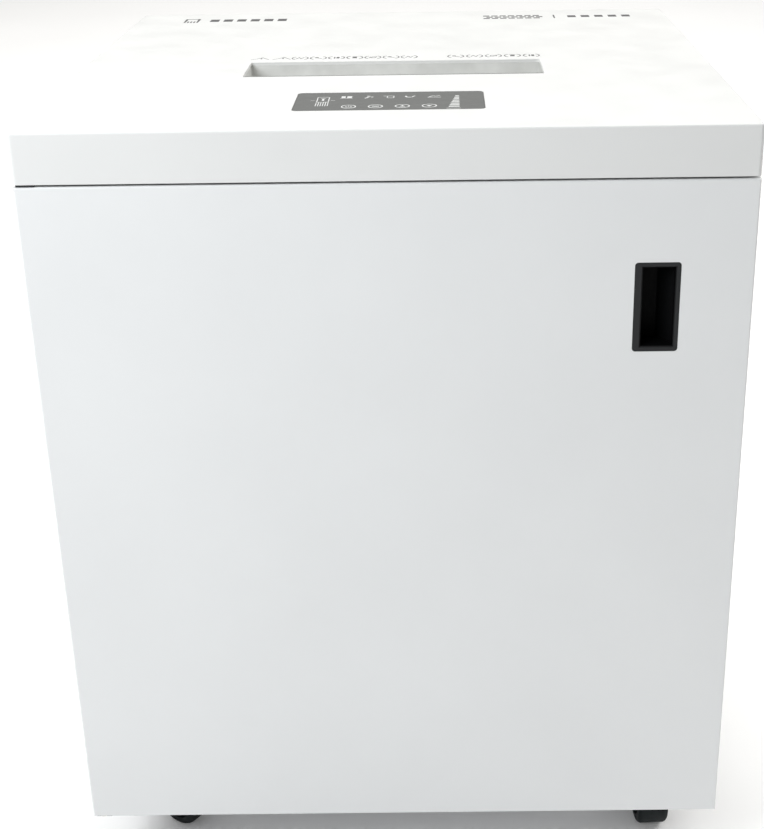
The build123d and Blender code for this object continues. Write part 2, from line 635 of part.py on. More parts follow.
FAN_LEFT = MOTOR_LEFT - 20.0
FAN_HUB_RADIUS = 12.0
FAN_HUB_LENGTH = 14.0
BLADES = 9
BLADE_MIDDLE = 26.0
BLADE_LENGTH = 32.0
BLADE_THICKNESS = 2.0
BLADE_WIDTH = 12.0
BLADE_TURN = 20.0
with BuildPart() as motor_fan:
    with BuildSketch(Plane.YZ.offset(FAN_LEFT)):
        with Locations(MOTOR_AXIS):
            Circle(FAN_HUB_RADIUS)
            Circle(MOTOR_SHAFT_RADIUS, mode=Mode.SUBTRACT)
    extrude(amount=FAN_HUB_LENGTH)
    with BuildSketch(Plane.YZ.offset(FAN_LEFT)):
        with Locations(MOTOR_AXIS):
            with PolarLocations(BLADE_MIDDLE, BLADES):
                Rectangle(BLADE_LENGTH, BLADE_THICKNESS, rotation=BLADE_TURN)
    extrude(amount=BLADE_WIDTH)
save(motor_fan, "motor_fan")

# Motor cradle: an upright plate on the deck with a half-round seat and a foot.
CRADLE_X = MOTOR_LEFT + 12.0
CRADLE_WIDTH = 104.0
CRADLE_SHEET = 3.0
CRADLE_TOP = MOTOR_Z - 6.0
FOOT_LENGTH = 20.0
with BuildPart() as motor_bracket:
    with BuildSketch(Plane.YZ.offset(CRADLE_X)):
        with Locations((MOTOR_Y, (DECK_TOP + CRADLE_TOP) / 2)):
            Rectangle(CRADLE_WIDTH, CRADLE_TOP - DECK_TOP)
        with Locations(MOTOR_AXIS):
            Circle(MOTOR_RADIUS + SCREW_FIT, mode=Mode.SUBTRACT)
    extrude(amount=CRADLE_SHEET)
    with BuildSketch(Plane.XY.offset(DECK_TOP)):
        with Locations((CRADLE_X + FOOT_LENGTH / 2, MOTOR_Y)):
            Rectangle(FOOT_LENGTH, CRADLE_WIDTH)
    extrude(amount=CRADLE_SHEET)
save(motor_bracket, "motor_bracket")

# Gear cover: a box over the gears, open towards the side plate.
COVER_DEPTH = 33.0
COVER_WALL = 2.0
COVER_MIDDLE = (18.0, 513.5)
COVER_LENGTH = 164.0
COVER_HEIGHT = 117.0
COVER_CORNER = 8.0
with BuildPart() as gear_cover:
    for wall, mode in ((0, Mode.ADD), (COVER_WALL, Mode.SUBTRACT)):
        with BuildSketch(Plane.YZ.offset(PLATE_OUTER_X)):
            with Locations(COVER_MIDDLE):
                RectangleRounded(COVER_LENGTH - 2 * wall, COVER_HEIGHT - 2 * wall, COVER_CORNER - wall)
        extrude(amount=COVER_DEPTH - wall, mode=mode)
save(gear_cover, "gear_cover")

# Motor capacitor: a can lying on the deck in front of the cutters, in a saddle.
CAPACITOR_LEFT = -95.0
CAPACITOR_Y = -150.0
CAPACITOR_RADIUS = 20.0
CAPACITOR_LENGTH = 80.0
SADDLE_WIDTH = 16.0
SADDLE_DEPTH = 30.0
SADDLE_HEIGHT = 8.0
with BuildPart() as motor_capacitor:
    with BuildSketch(Plane.YZ.offset(CAPACITOR_LEFT)):
        with Locations((CAPACITOR_Y, DECK_TOP + CAPACITOR_RADIUS)):
            Circle(CAPACITOR_RADIUS)
    extrude(amount=CAPACITOR_LENGTH)
    with BuildSketch(Plane.XY.offset(DECK_TOP)):
        with Locations((CAPACITOR_LEFT + CAPACITOR_LENGTH / 2, CAPACITOR_Y)):
            Rectangle(SADDLE_WIDTH, SADDLE_DEPTH)
    extrude(amount=SADDLE_HEIGHT)
save(motor_capacitor, "motor_capacitor")

# Power board on four standoffs, with its transformer, relay, filter and capacitors.
POWER_X = -178.0
POWER_Y = 120.0
POWER_WIDTH = 120.0
POWER_DEPTH = 154.0
STANDOFF_RADIUS = 3.5
STANDOFF_HEIGHT = 8.0
STANDOFF_INSET = 7.0
POWER_LOW = DECK_TOP + STANDOFF_HEIGHT
TRANSFORMER = (-25.0, 35.0)
TRANSFORMER_SIZE = (42.0, 36.0)
TRANSFORMER_HEIGHT = 32.0
RELAY = (28.0, 40.0)
RELAY_SIZE = (20.0, 16.0)
RELAY_HEIGHT = 18.0
FILTER = (28.0, -45.0)
FILTER_SIZE = (40.0, 24.0)
FILTER_HEIGHT = 14.0
CAN_RADIUS = 8.0
CAN_HEIGHT = 26.0
CAN_SPACING = 20.0
CANS = (-20.0, -20.0)
with BuildPart() as power_board:
    with BuildSketch(Plane.XY.offset(DECK_TOP)):
        with Locations((POWER_X, POWER_Y)):
            with GridLocations(POWER_WIDTH - 2 * STANDOFF_INSET, POWER_DEPTH - 2 * STANDOFF_INSET, 2, 2):
                Circle(STANDOFF_RADIUS)
    extrude(amount=STANDOFF_HEIGHT)
    with BuildSketch(Plane.XY.offset(POWER_LOW)):
        with Locations((POWER_X, POWER_Y)):
            Rectangle(POWER_WIDTH, POWER_DEPTH)
    extrude(amount=BOARD)
    for place, size, height in (
        (TRANSFORMER, TRANSFORMER_SIZE, TRANSFORMER_HEIGHT),
        (RELAY, RELAY_SIZE, RELAY_HEIGHT),
        (FILTER, FILTER_SIZE, FILTER_HEIGHT),
    ):
        with BuildSketch(Plane.XY.offset(POWER_LOW + BOARD)):
            with Locations((POWER_X + place[0], POWER_Y + place[1])):
                Rectangle(*size)
        extrude(amount=height)
    with BuildSketch(Plane.XY.offset(POWER_LOW + BOARD)):
        with Locations((POWER_X + CANS[0], POWER_Y + CANS[1])):
            with GridLocations(CAN_SPACING, 0, 2, 1):
                Circle(CAN_RADIUS)
    extrude(amount=CAN_HEIGHT)
save(power_board, "power_board")

# Power inlet module behind the rear panel: a mains socket and the rocker's well.
INLET_FACE = CARCASS_BACK
INLET_FLANGE = 4.0
INLET_FLANGE_THICKNESS = 2.0
INLET_BODY = 22.0
SOCKET_X = INLET_X - 13.0
SOCKET_WIDTH = 24.0
SOCKET_HEIGHT = 16.4
SOCKET_DEPTH = 17.0
BLADE_X = 7.0
BLADE_Z = 2.0
BLADE_SIZE = (2.0, 4.0)
BLADE_REACH = 13.0
ROCKER_X = INLET_X + 17.0
WELL_WIDTH = 13.0
WELL_HEIGHT = 23.0
WELL_DEPTH = 15.0
with BuildPart() as power_inlet:
    with BuildSketch(Plane.XZ.offset(-INLET_FACE)):
        with Locations((INLET_X, INLET_Z)):
            Rectangle(INLET_WIDTH + 2 * INLET_FLANGE, INLET_HEIGHT + 2 * INLET_FLANGE)
    extrude(amount=INLET_FLANGE_THICKNESS)
    with BuildSketch(Plane.XZ.offset(INLET_FLANGE_THICKNESS - INLET_FACE)):
        with Locations((INLET_X, INLET_Z)):
            Rectangle(INLET_WIDTH - 4 * SLIP, INLET_HEIGHT - 4 * SLIP)
    extrude(amount=INLET_BODY)
    with BuildSketch(Plane.XZ.offset(-INLET_FACE)):
        with Locations((SOCKET_X, INLET_Z)):
            Rectangle(SOCKET_WIDTH, SOCKET_HEIGHT)
    extrude(amount=SOCKET_DEPTH, mode=Mode.SUBTRACT)
    with BuildSketch(Plane.XZ.offset(-INLET_FACE)):
        with Locations((ROCKER_X, INLET_Z)):
            Rectangle(WELL_WIDTH, WELL_HEIGHT)
    extrude(amount=WELL_DEPTH, mode=Mode.SUBTRACT)
    with BuildSketch(Plane.XZ.offset(SOCKET_DEPTH - INLET_FACE)):
        with Locations((SOCKET_X, INLET_Z + BLADE_Z)):
            Rectangle(*BLADE_SIZE)
        with Locations((SOCKET_X, INLET_Z - BLADE_Z)):
            with GridLocations(2 * BLADE_X, 0, 2, 1):
                Rectangle(*BLADE_SIZE)
    extrude(amount=-BLADE_REACH)
save(power_inlet, "power_inlet")

# Mains rocker, tilted 7 degrees at rest with its lower half pressed in.
ROCKER_Y = 235.5
ROCKER_TILT = 7.0
ROCKER_WIDTH = 12.0
ROCKER_ROOT = (-5.0, 4.0)
ROCKER_TIP = (7.0, 8.6)
ROCKER_DIP = 5.4
rocker_out = (0, cos(radians(ROCKER_TILT)), sin(radians(ROCKER_TILT)))
rocker_origin = (ROCKER_X - ROCKER_WIDTH / 2, ROCKER_Y, INLET_Z)
rocker_plane = Plane(origin=rocker_origin, x_dir=rocker_out, z_dir=(1, 0, 0))
with BuildPart() as mains_rocker:
    with BuildSketch(rocker_plane):
        Polygon(
            (ROCKER_ROOT[0], -ROCKER_ROOT[1]),
            (ROCKER_TIP[0], -ROCKER_TIP[1]),
            (ROCKER_DIP, 0),
            ROCKER_TIP,
            ROCKER_ROOT,
            align=None,
        )
    extrude(amount=ROCKER_WIDTH)
save(mains_rocker, "mains_rocker")

# ---------------------------------------------------------------- door
# Door sensor behind the right return, near the top.
SENSOR_X = 246.0
SENSOR_Z = 572.0
SENSOR_WIDTH = 11.0
SENSOR_HEIGHT = 26.0
SENSOR_DEPTH = 8.0
with BuildPart() as door_sensor:
    with BuildSketch(Plane.XZ.offset(-CARCASS_FRONT - SHEET)):
        with Locations((SENSOR_X, SENSOR_Z)):
            Rectangle(SENSOR_WIDTH, SENSOR_HEIGHT)
    extrude(amount=-SENSOR_DEPTH)
save(door_sensor, "door_sensor")

# Magnetic catch beside the right return, and the strike plate on the door's back lip.
CATCH_WIDTH = 14.0
CATCH_HEIGHT = 40.0
CATCH_DEPTH = 13.6
CATCH_X = HALF_WIDTH - FLANGE - CATCH_WIDTH / 2
CATCH_Z = 340.0
STRIKE_HEIGHT = 50.0
STRIKE_CORNER = 2.0
STRIKE_PLATE = 0.6
CATCH_FRONT = DOOR_BACK + STRIKE_PLATE + 0.8
with BuildPart() as magnetic_catch:
    with BuildSketch(Plane.XY.offset(CATCH_Z - CATCH_HEIGHT / 2)):
        with Locations((CATCH_X, CATCH_FRONT + CATCH_DEPTH / 2)):
            Rectangle(CATCH_WIDTH, CATCH_DEPTH)
    extrude(amount=CATCH_HEIGHT)
save(magnetic_catch, "magnetic_catch")

with BuildPart() as strike_plate:
    with BuildSketch(Plane.XZ.offset(-DOOR_BACK)):
        with Locations((CATCH_X, CATCH_Z)):
            RectangleRounded(CATCH_WIDTH, STRIKE_HEIGHT, STRIKE_CORNER)
    extrude(amount=-STRIKE_PLATE)
save(strike_plate, "strike_plate")


# Hinge brackets. The upper one is a thin tongue in the gap above the door, with a tab behind the
# side panel's front return; the lower one is a tongue below the door, on a pad under the side panel.
TAB_HEIGHT = 28.0
TONGUE_FRONT = HINGE_Y - HINGE_PIN_RADIUS - 0.2
UPPER_TONGUE_FRONT = FRONT + 0.6
PIN_LENGTH = 9.0
PAD_BACK = -200.0
with BuildPart() as hinge_brackets:
    tab_front = CARCASS_FRONT + SHEET
    tongue_top = UPPER_TONGUE + UPPER_TONGUE_THICKNESS
    with BuildSketch(Plane.XY.offset(UPPER_TONGUE)):
        with Locations((HINGE_X, (UPPER_TONGUE_FRONT + tab_front) / 2)):
            Rectangle(HINGE_WIDTH, tab_front - UPPER_TONGUE_FRONT)
    extrude(amount=UPPER_TONGUE_THICKNESS)
    with BuildSketch(Plane.XY.offset(tongue_top - TAB_HEIGHT)):
        with Locations((HINGE_X, tab_front + SHEET / 2)):
            Rectangle(HINGE_WIDTH, SHEET)
    extrude(amount=TAB_HEIGHT)
    with BuildSketch(Plane.XY.offset(UPPER_TONGUE - PIN_LENGTH)):
        with Locations((HINGE_X, HINGE_Y)):
            Circle(HINGE_PIN_RADIUS)
    extrude(amount=PIN_LENGTH)
    with BuildSketch(Plane.XY.offset(LOWER_TONGUE)):
        with Locations((HINGE_X, (TONGUE_FRONT + PAD_BACK) / 2)):
            Rectangle(HINGE_WIDTH, PAD_BACK - TONGUE_FRONT)
    extrude(amount=LOWER_TONGUE_THICKNESS)
    with BuildSketch(Plane.XY.offset(LOWER_TONGUE)):
        with Locations((HINGE_X, (CARCASS_FRONT + PAD_BACK) / 2)):
            Rectangle(HINGE_WIDTH, PAD_BACK - CARCASS_FRONT)
    extrude(amount=BODY_BOTTOM - LOWER_TONGUE)
    with BuildSketch(Plane.XY.offset(LOWER_TONGUE + LOWER_TONGUE_THICKNESS)):
        with Locations((HINGE_X, HINGE_Y)):
            Circle(HINGE_PIN_RADIUS)
    extrude(amount=PIN_LENGTH)
save(hinge_brackets, "hinge_brackets")

# Door skin: a folded pan with returned lips and an open back, with a bush hole at each hinge corner.
LIP_X = 220.0
LIP_Z = 20.0
with BuildPart() as door_skin:
    with BuildSketch(Plane.XY.offset(BODY_BOTTOM)):
        with Locations((0, (FRONT + DOOR_BACK) / 2)):
            Rectangle(WIDTH, DOOR_THICKNESS)
    extrude(amount=DOOR_TOP - BODY_BOTTOM)
    front_face = door_skin.faces().sort_by(Axis.Y)[0]
    fillet(front_face.edges(), DOOR_EDGE)
    with BuildSketch(Plane.XY.offset(BODY_BOTTOM + DOOR_SHEET)):
        with Locations((0, (FRONT + DOOR_BACK) / 2)):
            Rectangle(WIDTH - 2 * DOOR_SHEET, DOOR_THICKNESS - 2 * DOOR_SHEET)
    extrude(amount=DOOR_TOP - BODY_BOTTOM - 2 * DOOR_SHEET, mode=Mode.SUBTRACT)
    with BuildSketch(Plane.XZ.offset(-DOOR_BACK)):
        with Locations((0, (BODY_BOTTOM + DOOR_TOP) / 2)):
            Rectangle(2 * LIP_X, DOOR_TOP - BODY_BOTTOM - 2 * LIP_Z)
    extrude(amount=DOOR_SHEET, mode=Mode.SUBTRACT)
    with BuildSketch(Plane.XY.offset(BODY_BOTTOM)):
        with Locations((HINGE_X, HINGE_Y)):
            Circle(BUSH_RADIUS)
    extrude(amount=DOOR_TOP - BODY_BOTTOM, mode=Mode.SUBTRACT)
    with BuildSketch(Plane.XZ.offset(-FRONT)):
        with Locations((HANDLE_LEFT + HANDLE_WIDTH / 2, HANDLE_BOTTOM + HANDLE_HEIGHT / 2)):
            RectangleRounded(HANDLE_WIDTH, HANDLE_HEIGHT, HANDLE_CORNER)
    extrude(amount=-DOOR_SHEET, mode=Mode.SUBTRACT)
save(door_skin, "door_skin")

# Stiffener: a vertical top-hat channel bonded inside the door.
HAT_WIDTH = 60.4
HAT_DEPTH = 15.0
HAT_FLANGE = 22.0
HAT_CLEARANCE = 6.0
with BuildPart() as door_stiffener:
    skin_inner = FRONT + DOOR_SHEET
    web_x = (HAT_WIDTH - DOOR_SHEET) / 2
    flange_x = (HAT_WIDTH + HAT_FLANGE) / 2 - DOOR_SHEET
    with BuildSketch(Plane.XY.offset(BODY_BOTTOM + HAT_CLEARANCE)):
        with Locations((0, skin_inner + DOOR_SHEET / 2)):
            with GridLocations(2 * flange_x, 0, 2, 1):
                Rectangle(HAT_FLANGE, DOOR_SHEET)
        with Locations((0, skin_inner + HAT_DEPTH / 2)):
            with GridLocations(2 * web_x, 0, 2, 1):
                Rectangle(DOOR_SHEET, HAT_DEPTH)
        with Locations((0, skin_inner + HAT_DEPTH - DOOR_SHEET / 2)):
            Rectangle(HAT_WIDTH, DOOR_SHEET)
    extrude(amount=DOOR_TOP - BODY_BOTTOM - 2 * HAT_CLEARANCE)
save(door_stiffener, "door_stiffener")

# Handle cup: a moulded pocket, undercut to the left so the fingers hook behind its edge.
CUP_FIT = 0.1
CUP_WALL = 1.8
CUP_END_WALL = 4.0
CUP_FLANGE = 4.5
CUP_FLANGE_THICKNESS = 1.4
CUP_RIM_LEFT = HANDLE_LEFT + 6.0
CUP_RIM_RIGHT = HANDLE_LEFT + HANDLE_WIDTH - 3.6
CUP_RIM_BEVEL = 1.2
CUP_RIM_DEPTH = 3.2
CUP_BACK = FRONT + 23.4
CUP_RAMP_X = HANDLE_LEFT + 20.0
CUP_RAMP_Y = FRONT + 9.0
with BuildPart() as door_handle_cup:
    cup_front = FRONT + DOOR_SHEET
    cup_left = HANDLE_LEFT + 2 * CUP_FIT
    cup_right = HANDLE_LEFT + HANDLE_WIDTH - 2 * CUP_FIT
    with BuildSketch(Plane.XZ.offset(-FRONT)):
        with Locations((HANDLE_LEFT + HANDLE_WIDTH / 2, HANDLE_BOTTOM + HANDLE_HEIGHT / 2)):
            RectangleRounded(
                HANDLE_WIDTH - 2 * CUP_FIT, HANDLE_HEIGHT - 2 * CUP_FIT, HANDLE_CORNER - CUP_FIT
            )
    extrude(amount=-DOOR_SHEET)
    with BuildSketch(Plane.XZ.offset(-cup_front)):
        with Locations((HANDLE_LEFT + HANDLE_WIDTH / 2, HANDLE_BOTTOM + HANDLE_HEIGHT / 2)):
            RectangleRounded(HANDLE_WIDTH + 2 * CUP_FLANGE, HANDLE_HEIGHT + 2 * CUP_FLANGE, CUP_FLANGE)
    extrude(amount=-CUP_FLANGE_THICKNESS)
    with BuildSketch(Plane.XY.offset(HANDLE_BOTTOM + 2 * CUP_FIT)):
        Polygon(
            (cup_left, cup_front),
            (cup_right, cup_front),
            (cup_right, CUP_RAMP_Y),
            (CUP_RAMP_X, CUP_BACK),
            (cup_left, CUP_BACK),
            align=None,
        )
    extrude(amount=HANDLE_HEIGHT - 4 * CUP_FIT)
    with BuildSketch(Plane.XY.offset(HANDLE_BOTTOM + CUP_END_WALL)):
        Polygon(
            (CUP_RIM_LEFT, FRONT),
            (CUP_RIM_RIGHT, FRONT),
            (CUP_RIM_RIGHT, CUP_RAMP_Y - CUP_WALL),
            (CUP_RAMP_X - CUP_WALL / 2, CUP_BACK - CUP_WALL),
            (cup_left + CUP_WALL, CUP_BACK - CUP_WALL),
            (cup_left + CUP_WALL, FRONT + CUP_RIM_DEPTH),
            (CUP_RIM_LEFT, FRONT + CUP_RIM_DEPTH),
            align=None,
        )
    extrude(amount=HANDLE_HEIGHT - 2 * CUP_END_WALL, mode=Mode.SUBTRACT)
    rim_face = door_handle_cup.faces().sort_by(Axis.Y)[0]
    chamfer(rim_face.inner_wires()[0].edges(), CUP_RIM_BEVEL)
save(door_handle_cup, "door_handle_cup")

# Hinge bushes: a sleeve in each bush hole; the lower one carries a thin flange under the door.
BUSH_LENGTH = 5.0
BUSH_FLANGE_RADIUS = 5.0
BUSH_FLANGE = 0.8
with BuildPart() as hinge_bushes:
    for low, height, radius in (
        (DOOR_TOP - BUSH_LENGTH, BUSH_LENGTH, BUSH_RADIUS),
        (BODY_BOTTOM, BUSH_LENGTH, BUSH_RADIUS),
        (BODY_BOTTOM - BUSH_FLANGE, BUSH_FLANGE, BUSH_FLANGE_RADIUS),
    ):
        with BuildSketch(Plane.XY.offset(low)):
            with Locations((HINGE_X, HINGE_Y)):
                Circle(radius)
                Circle(HINGE_PIN_RADIUS + HINGE_FIT, mode=Mode.SUBTRACT)
        extrude(amount=height)
save(hinge_bushes, "hinge_bushes")

# ---------------------------------------------------------------- waste bin
BIN_TOP = BIN_BOTTOM + BIN_HEIGHT
BIN_MIDDLE_Y = BIN_FRONT + BIN_LENGTH / 2
BIN_CORNER = 14.0
BIN_LIP_SIDE = 5.0
BIN_LIP_END = 2.0
BIN_LIP_HEIGHT = 4.0
GRIP_Z = BIN_TOP - 42.0
GRIP_LENGTH = 118.0
GRIP_HEIGHT = 34.0
GRIP_WALL = 5.0
GRIP_FLANGE = 2.0
GRIP_DEPTH = 6.0
GRIP_FIT = 0.4
with BuildPart() as waste_bin:
    for wall, mode in ((0, Mode.ADD), (BIN_WALL, Mode.SUBTRACT)):
        with BuildSketch(Plane.XY.offset(BIN_BOTTOM + wall)):
            with Locations((0, BIN_MIDDLE_Y)):
                RectangleRounded(2 * BIN_HALF_WIDTH - 2 * wall, BIN_LENGTH - 2 * wall, BIN_CORNER - wall)
        extrude(amount=BIN_HEIGHT - wall, mode=mode)
    with BuildSketch(Plane.XY.offset(BIN_TOP - BIN_LIP_HEIGHT)):
        with Locations((0, BIN_MIDDLE_Y)):
            RectangleRounded(
                2 * (BIN_HALF_WIDTH + BIN_LIP_SIDE),
                BIN_LENGTH + 2 * BIN_LIP_END,
                BIN_CORNER + BIN_LIP_END,
            )
            RectangleRounded(
                2 * (BIN_HALF_WIDTH - SLIP), BIN_LENGTH - 2 * SLIP, BIN_CORNER - SLIP, mode=Mode.SUBTRACT
            )
    extrude(amount=BIN_LIP_HEIGHT)
    with BuildSketch(Plane.XZ.offset(-BIN_FRONT)):
        with Locations((0, GRIP_Z)):
            SlotOverall(GRIP_LENGTH, GRIP_HEIGHT)
    extrude(amount=-BIN_WALL, mode=Mode.SUBTRACT)
save(waste_bin, "waste_bin")

with BuildPart() as bin_grip:
    with BuildSketch(Plane.XZ.offset(-BIN_FRONT)):
        with Locations((0, GRIP_Z)):
            SlotOverall(GRIP_LENGTH + 2 * GRIP_WALL, GRIP_HEIGHT + 2 * GRIP_WALL)
            SlotOverall(GRIP_LENGTH - 2 * GRIP_WALL, GRIP_HEIGHT - 2 * GRIP_WALL, mode=Mode.SUBTRACT)
    extrude(amount=GRIP_FLANGE)
    with BuildSketch(Plane.XZ.offset(-BIN_FRONT)):
        with Locations((0, GRIP_Z)):
            SlotOverall(GRIP_LENGTH - GRIP_FIT, GRIP_HEIGHT - GRIP_FIT)
            SlotOverall(GRIP_LENGTH - 2 * GRIP_WALL, GRIP_HEIGHT - 2 * GRIP_WALL, mode=Mode.SUBTRACT)
    extrude(amount=-GRIP_DEPTH)
save(bin_grip, "bin_grip")

RAIL_OVERHANG = 4.0
RAIL_WIDTH = 16.0
RAIL_INSET = 5.0
GUIDE_OFFSET = 2.0
GUIDE_THICKNESS = 2.0
GUIDE_HEIGHT = 22.0
with BuildPart() as bin_rails:
    rail_length = BIN_LENGTH + 2 * RAIL_OVERHANG
    with BuildSketch(Plane.XY.offset(BASE_TOP)):
        with Locations((0, BIN_MIDDLE_Y)):
            with GridLocations(2 * (BIN_HALF_WIDTH - RAIL_INSET), 0, 2, 1):
                Rectangle(RAIL_WIDTH, rail_length)
    extrude(amount=RAIL_THICKNESS)
    with BuildSketch(Plane.XY.offset(BASE_TOP)):
        with Locations((0, BIN_MIDDLE_Y)):
            with GridLocations(2 * (BIN_HALF_WIDTH + GUIDE_OFFSET), 0, 2, 1):
                Rectangle(GUIDE_THICKNESS, rail_length)
    extrude(amount=GUIDE_HEIGHT)
save(bin_rails, "bin_rails")

# ---------------------------------------------------------------- casters
RACE_RADIUS = 17.0
CROWN_TOP = 57.5
CROWN_THICKNESS = 3.0
CROWN_BACK = -16.0
RACE_GAP = 0.8
PLATE_WIDTH = 50.0
PLATE_LENGTH = 62.0
BOLT_HEAD_RADIUS = 4.4
BOLT_HEAD = 2.4
KINGPIN_RADIUS = 4.0
AXLE = 4.0
RIVET_RADIUS = 6.0
RIVET_HEAD = 1.4
LEG_GAP = 1.0
LEG_Y = TREAD_WIDTH / 2 + LEG_GAP
LEG_THICKNESS = 2.5
LEG_LOW = 16.5
LEG_SHOULDER = 24.0
LEG_HALF_WIDTH = 7.5
LEG_TOP = 51.0
TOE = 19.0
BRAKE_TOE = 28.0
WHEEL_EDGE = 4.0
DISH_OUTER = 17.5
DISH_INNER = 8.0
DISH_DEPTH = 4.0
LEVER_PIVOT = (24.0, 54.0)
LEVER_PIN = 1.6
LEVER_KNUCKLE = 2.6
LEVER_TIP = (47.0, 53.0)
LEVER_BEND = 38.0
LEVER_THICKNESS = 2.5
CASTER_POINTS = [(x, y) for x, y, _ in CASTERS.values()]

with BuildPart() as caster_plates:
    with BuildSketch(Plane.XY.offset(PLATE_LOW)):
        with Locations(*CASTER_POINTS):
            RectangleRounded(PLATE_WIDTH, PLATE_LENGTH, PLATE_CORNER)
        with Locations(*CASTER_BOLT_POINTS):
            Circle(BOLT_RADIUS + SCREW_FIT, mode=Mode.SUBTRACT)
    extrude(amount=CASTER_PLATE)
    with BuildSketch(Plane.XY.offset(CROWN_TOP + RACE_GAP)):
        with Locations(*CASTER_POINTS):
            Circle(RACE_RADIUS)
            Circle(KINGPIN_RADIUS + RUNNING_FIT, mode=Mode.SUBTRACT)
    extrude(amount=PLATE_LOW - CROWN_TOP - RACE_GAP)
save(caster_plates, "caster_plates")

with BuildPart() as caster_bolts:
    with BuildSketch(Plane.XY.offset(PLATE_LOW - BOLT_HEAD)):
        with Locations(*CASTER_BOLT_POINTS):
            RegularPolygon(BOLT_HEAD_RADIUS, 6)
    extrude(amount=BOLT_HEAD)
    with BuildSketch(Plane.XY.offset(PLATE_LOW)):
        with Locations(*CASTER_BOLT_POINTS):
            Circle(BOLT_RADIUS)
    extrude(amount=BASE_TOP - PLATE_LOW)
save(caster_bolts, "caster_bolts")


def build_caster(name, x, y, trail_angle):
    """Fork, axle, wheel and, at the front, brake lever, drawn in the caster's own turned frame."""
    along = (cos(radians(trail_angle)), sin(radians(trail_angle)), 0)
    across = (-along[1], along[0], 0)
    level = Plane(origin=(x, y, 0), x_dir=along, z_dir=(0, 0, 1))
    side_view = Plane(origin=(x, y, 0), x_dir=along, z_dir=(-across[0], -across[1], 0))
    braked = name.startswith("front")
    fork_half_width = LEG_Y + LEG_THICKNESS
    toe = BRAKE_TOE if braked else TOE

    with BuildPart() as fork:
        for start in (-fork_half_width, LEG_Y):
            with BuildSketch(side_view.offset(start)):
                Polygon(
                    (CROWN_BACK, CROWN_TOP),
                    (toe, CROWN_TOP),
                    (toe, LEG_TOP),
                    (CASTER_TRAIL + LEG_HALF_WIDTH, LEG_SHOULDER),
                    (CASTER_TRAIL, LEG_LOW),
                    (CASTER_TRAIL - LEG_HALF_WIDTH, LEG_SHOULDER),
                    (CROWN_BACK, LEG_TOP),
                    align=None,
                )
                with Locations((CASTER_TRAIL, WHEEL_RADIUS)):
                    Circle(AXLE, mode=Mode.SUBTRACT)
                if braked:
                    with Locations(LEVER_PIVOT):
                        Circle(LEVER_PIN + RUNNING_FIT, mode=Mode.SUBTRACT)
            extrude(amount=LEG_THICKNESS)
        with BuildSketch(level.offset(CROWN_TOP - CROWN_THICKNESS)):
            with Locations(((TOE + CROWN_BACK) / 2, 0)):
                Rectangle(TOE - CROWN_BACK, 2 * fork_half_width)
        extrude(amount=CROWN_THICKNESS)
        with BuildSketch(level.offset(CROWN_TOP)):
            Circle(KINGPIN_RADIUS)
        extrude(amount=PLATE_LOW - SLIP - CROWN_TOP)
    save(fork, f"caster_fork_{name}")

    with BuildPart() as axle:
        with BuildSketch(side_view.offset(-fork_half_width)):
            with Locations((CASTER_TRAIL, WHEEL_RADIUS)):
                Circle(AXLE)
        extrude(amount=2 * fork_half_width)
        for start in (-fork_half_width - RIVET_HEAD, fork_half_width):
            with BuildSketch(side_view.offset(start)):
                with Locations((CASTER_TRAIL, WHEEL_RADIUS)):
                    Circle(RIVET_RADIUS)
            extrude(amount=RIVET_HEAD)
    save(axle, f"caster_axle_{name}")

    with BuildPart() as wheel:
        with BuildSketch(side_view.offset(-TREAD_WIDTH / 2)):
            with Locations((CASTER_TRAIL, WHEEL_RADIUS)):
                Circle(WHEEL_RADIUS)
        extrude(amount=TREAD_WIDTH)
        fillet(wheel.edges().filter_by(GeomType.CIRCLE), WHEEL_EDGE)
        for start, depth in ((-TREAD_WIDTH / 2, DISH_DEPTH), (TREAD_WIDTH / 2, -DISH_DEPTH)):
            with BuildSketch(side_view.offset(start)):
                with Locations((CASTER_TRAIL, WHEEL_RADIUS)):
                    Circle(DISH_OUTER)
                    Circle(DISH_INNER, mode=Mode.SUBTRACT)
            extrude(amount=depth, mode=Mode.SUBTRACT)
        with BuildSketch(side_view.offset(-TREAD_WIDTH / 2)):
            with Locations((CASTER_TRAIL, WHEEL_RADIUS)):
                Circle(AXLE + RUNNING_FIT)
        extrude(amount=TREAD_WIDTH, mode=Mode.SUBTRACT)
    save(wheel, f"caster_wheel_{name}")

    if not braked:
        return
    with BuildPart() as lever:
        pivot_x, pivot_z = LEVER_PIVOT
        lever_half_width = LEG_Y - SLIP
        with BuildSketch(side_view.offset(-lever_half_width)):
            with Locations(LEVER_PIVOT):
                Circle(LEVER_KNUCKLE)
            Polygon(
                (pivot_x, pivot_z + LEVER_KNUCKLE),
                (LEVER_BEND, pivot_z + LEVER_KNUCKLE),
                LEVER_TIP,
                (LEVER_TIP[0] - 1, LEVER_TIP[1] - LEVER_THICKNESS),
                (LEVER_BEND - SLIP, pivot_z + LEVER_KNUCKLE - LEVER_THICKNESS),
                (pivot_x, pivot_z - LEVER_KNUCKLE + SLIP),
                align=None,
            )
        extrude(amount=2 * lever_half_width)
        with BuildSketch(side_view.offset(-fork_half_width)):
            with Locations(LEVER_PIVOT):
                Circle(LEVER_PIN)
        extrude(amount=2 * fork_half_width)
    save(lever, f"brake_lever_{name}")


for caster_name, (caster_x, caster_y, caster_angle) in CASTERS.items():
    build_caster(caster_name, caster_x, caster_y, caster_angle)
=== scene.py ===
import json
import math

import bpy
from mathutils import Matrix, Vector


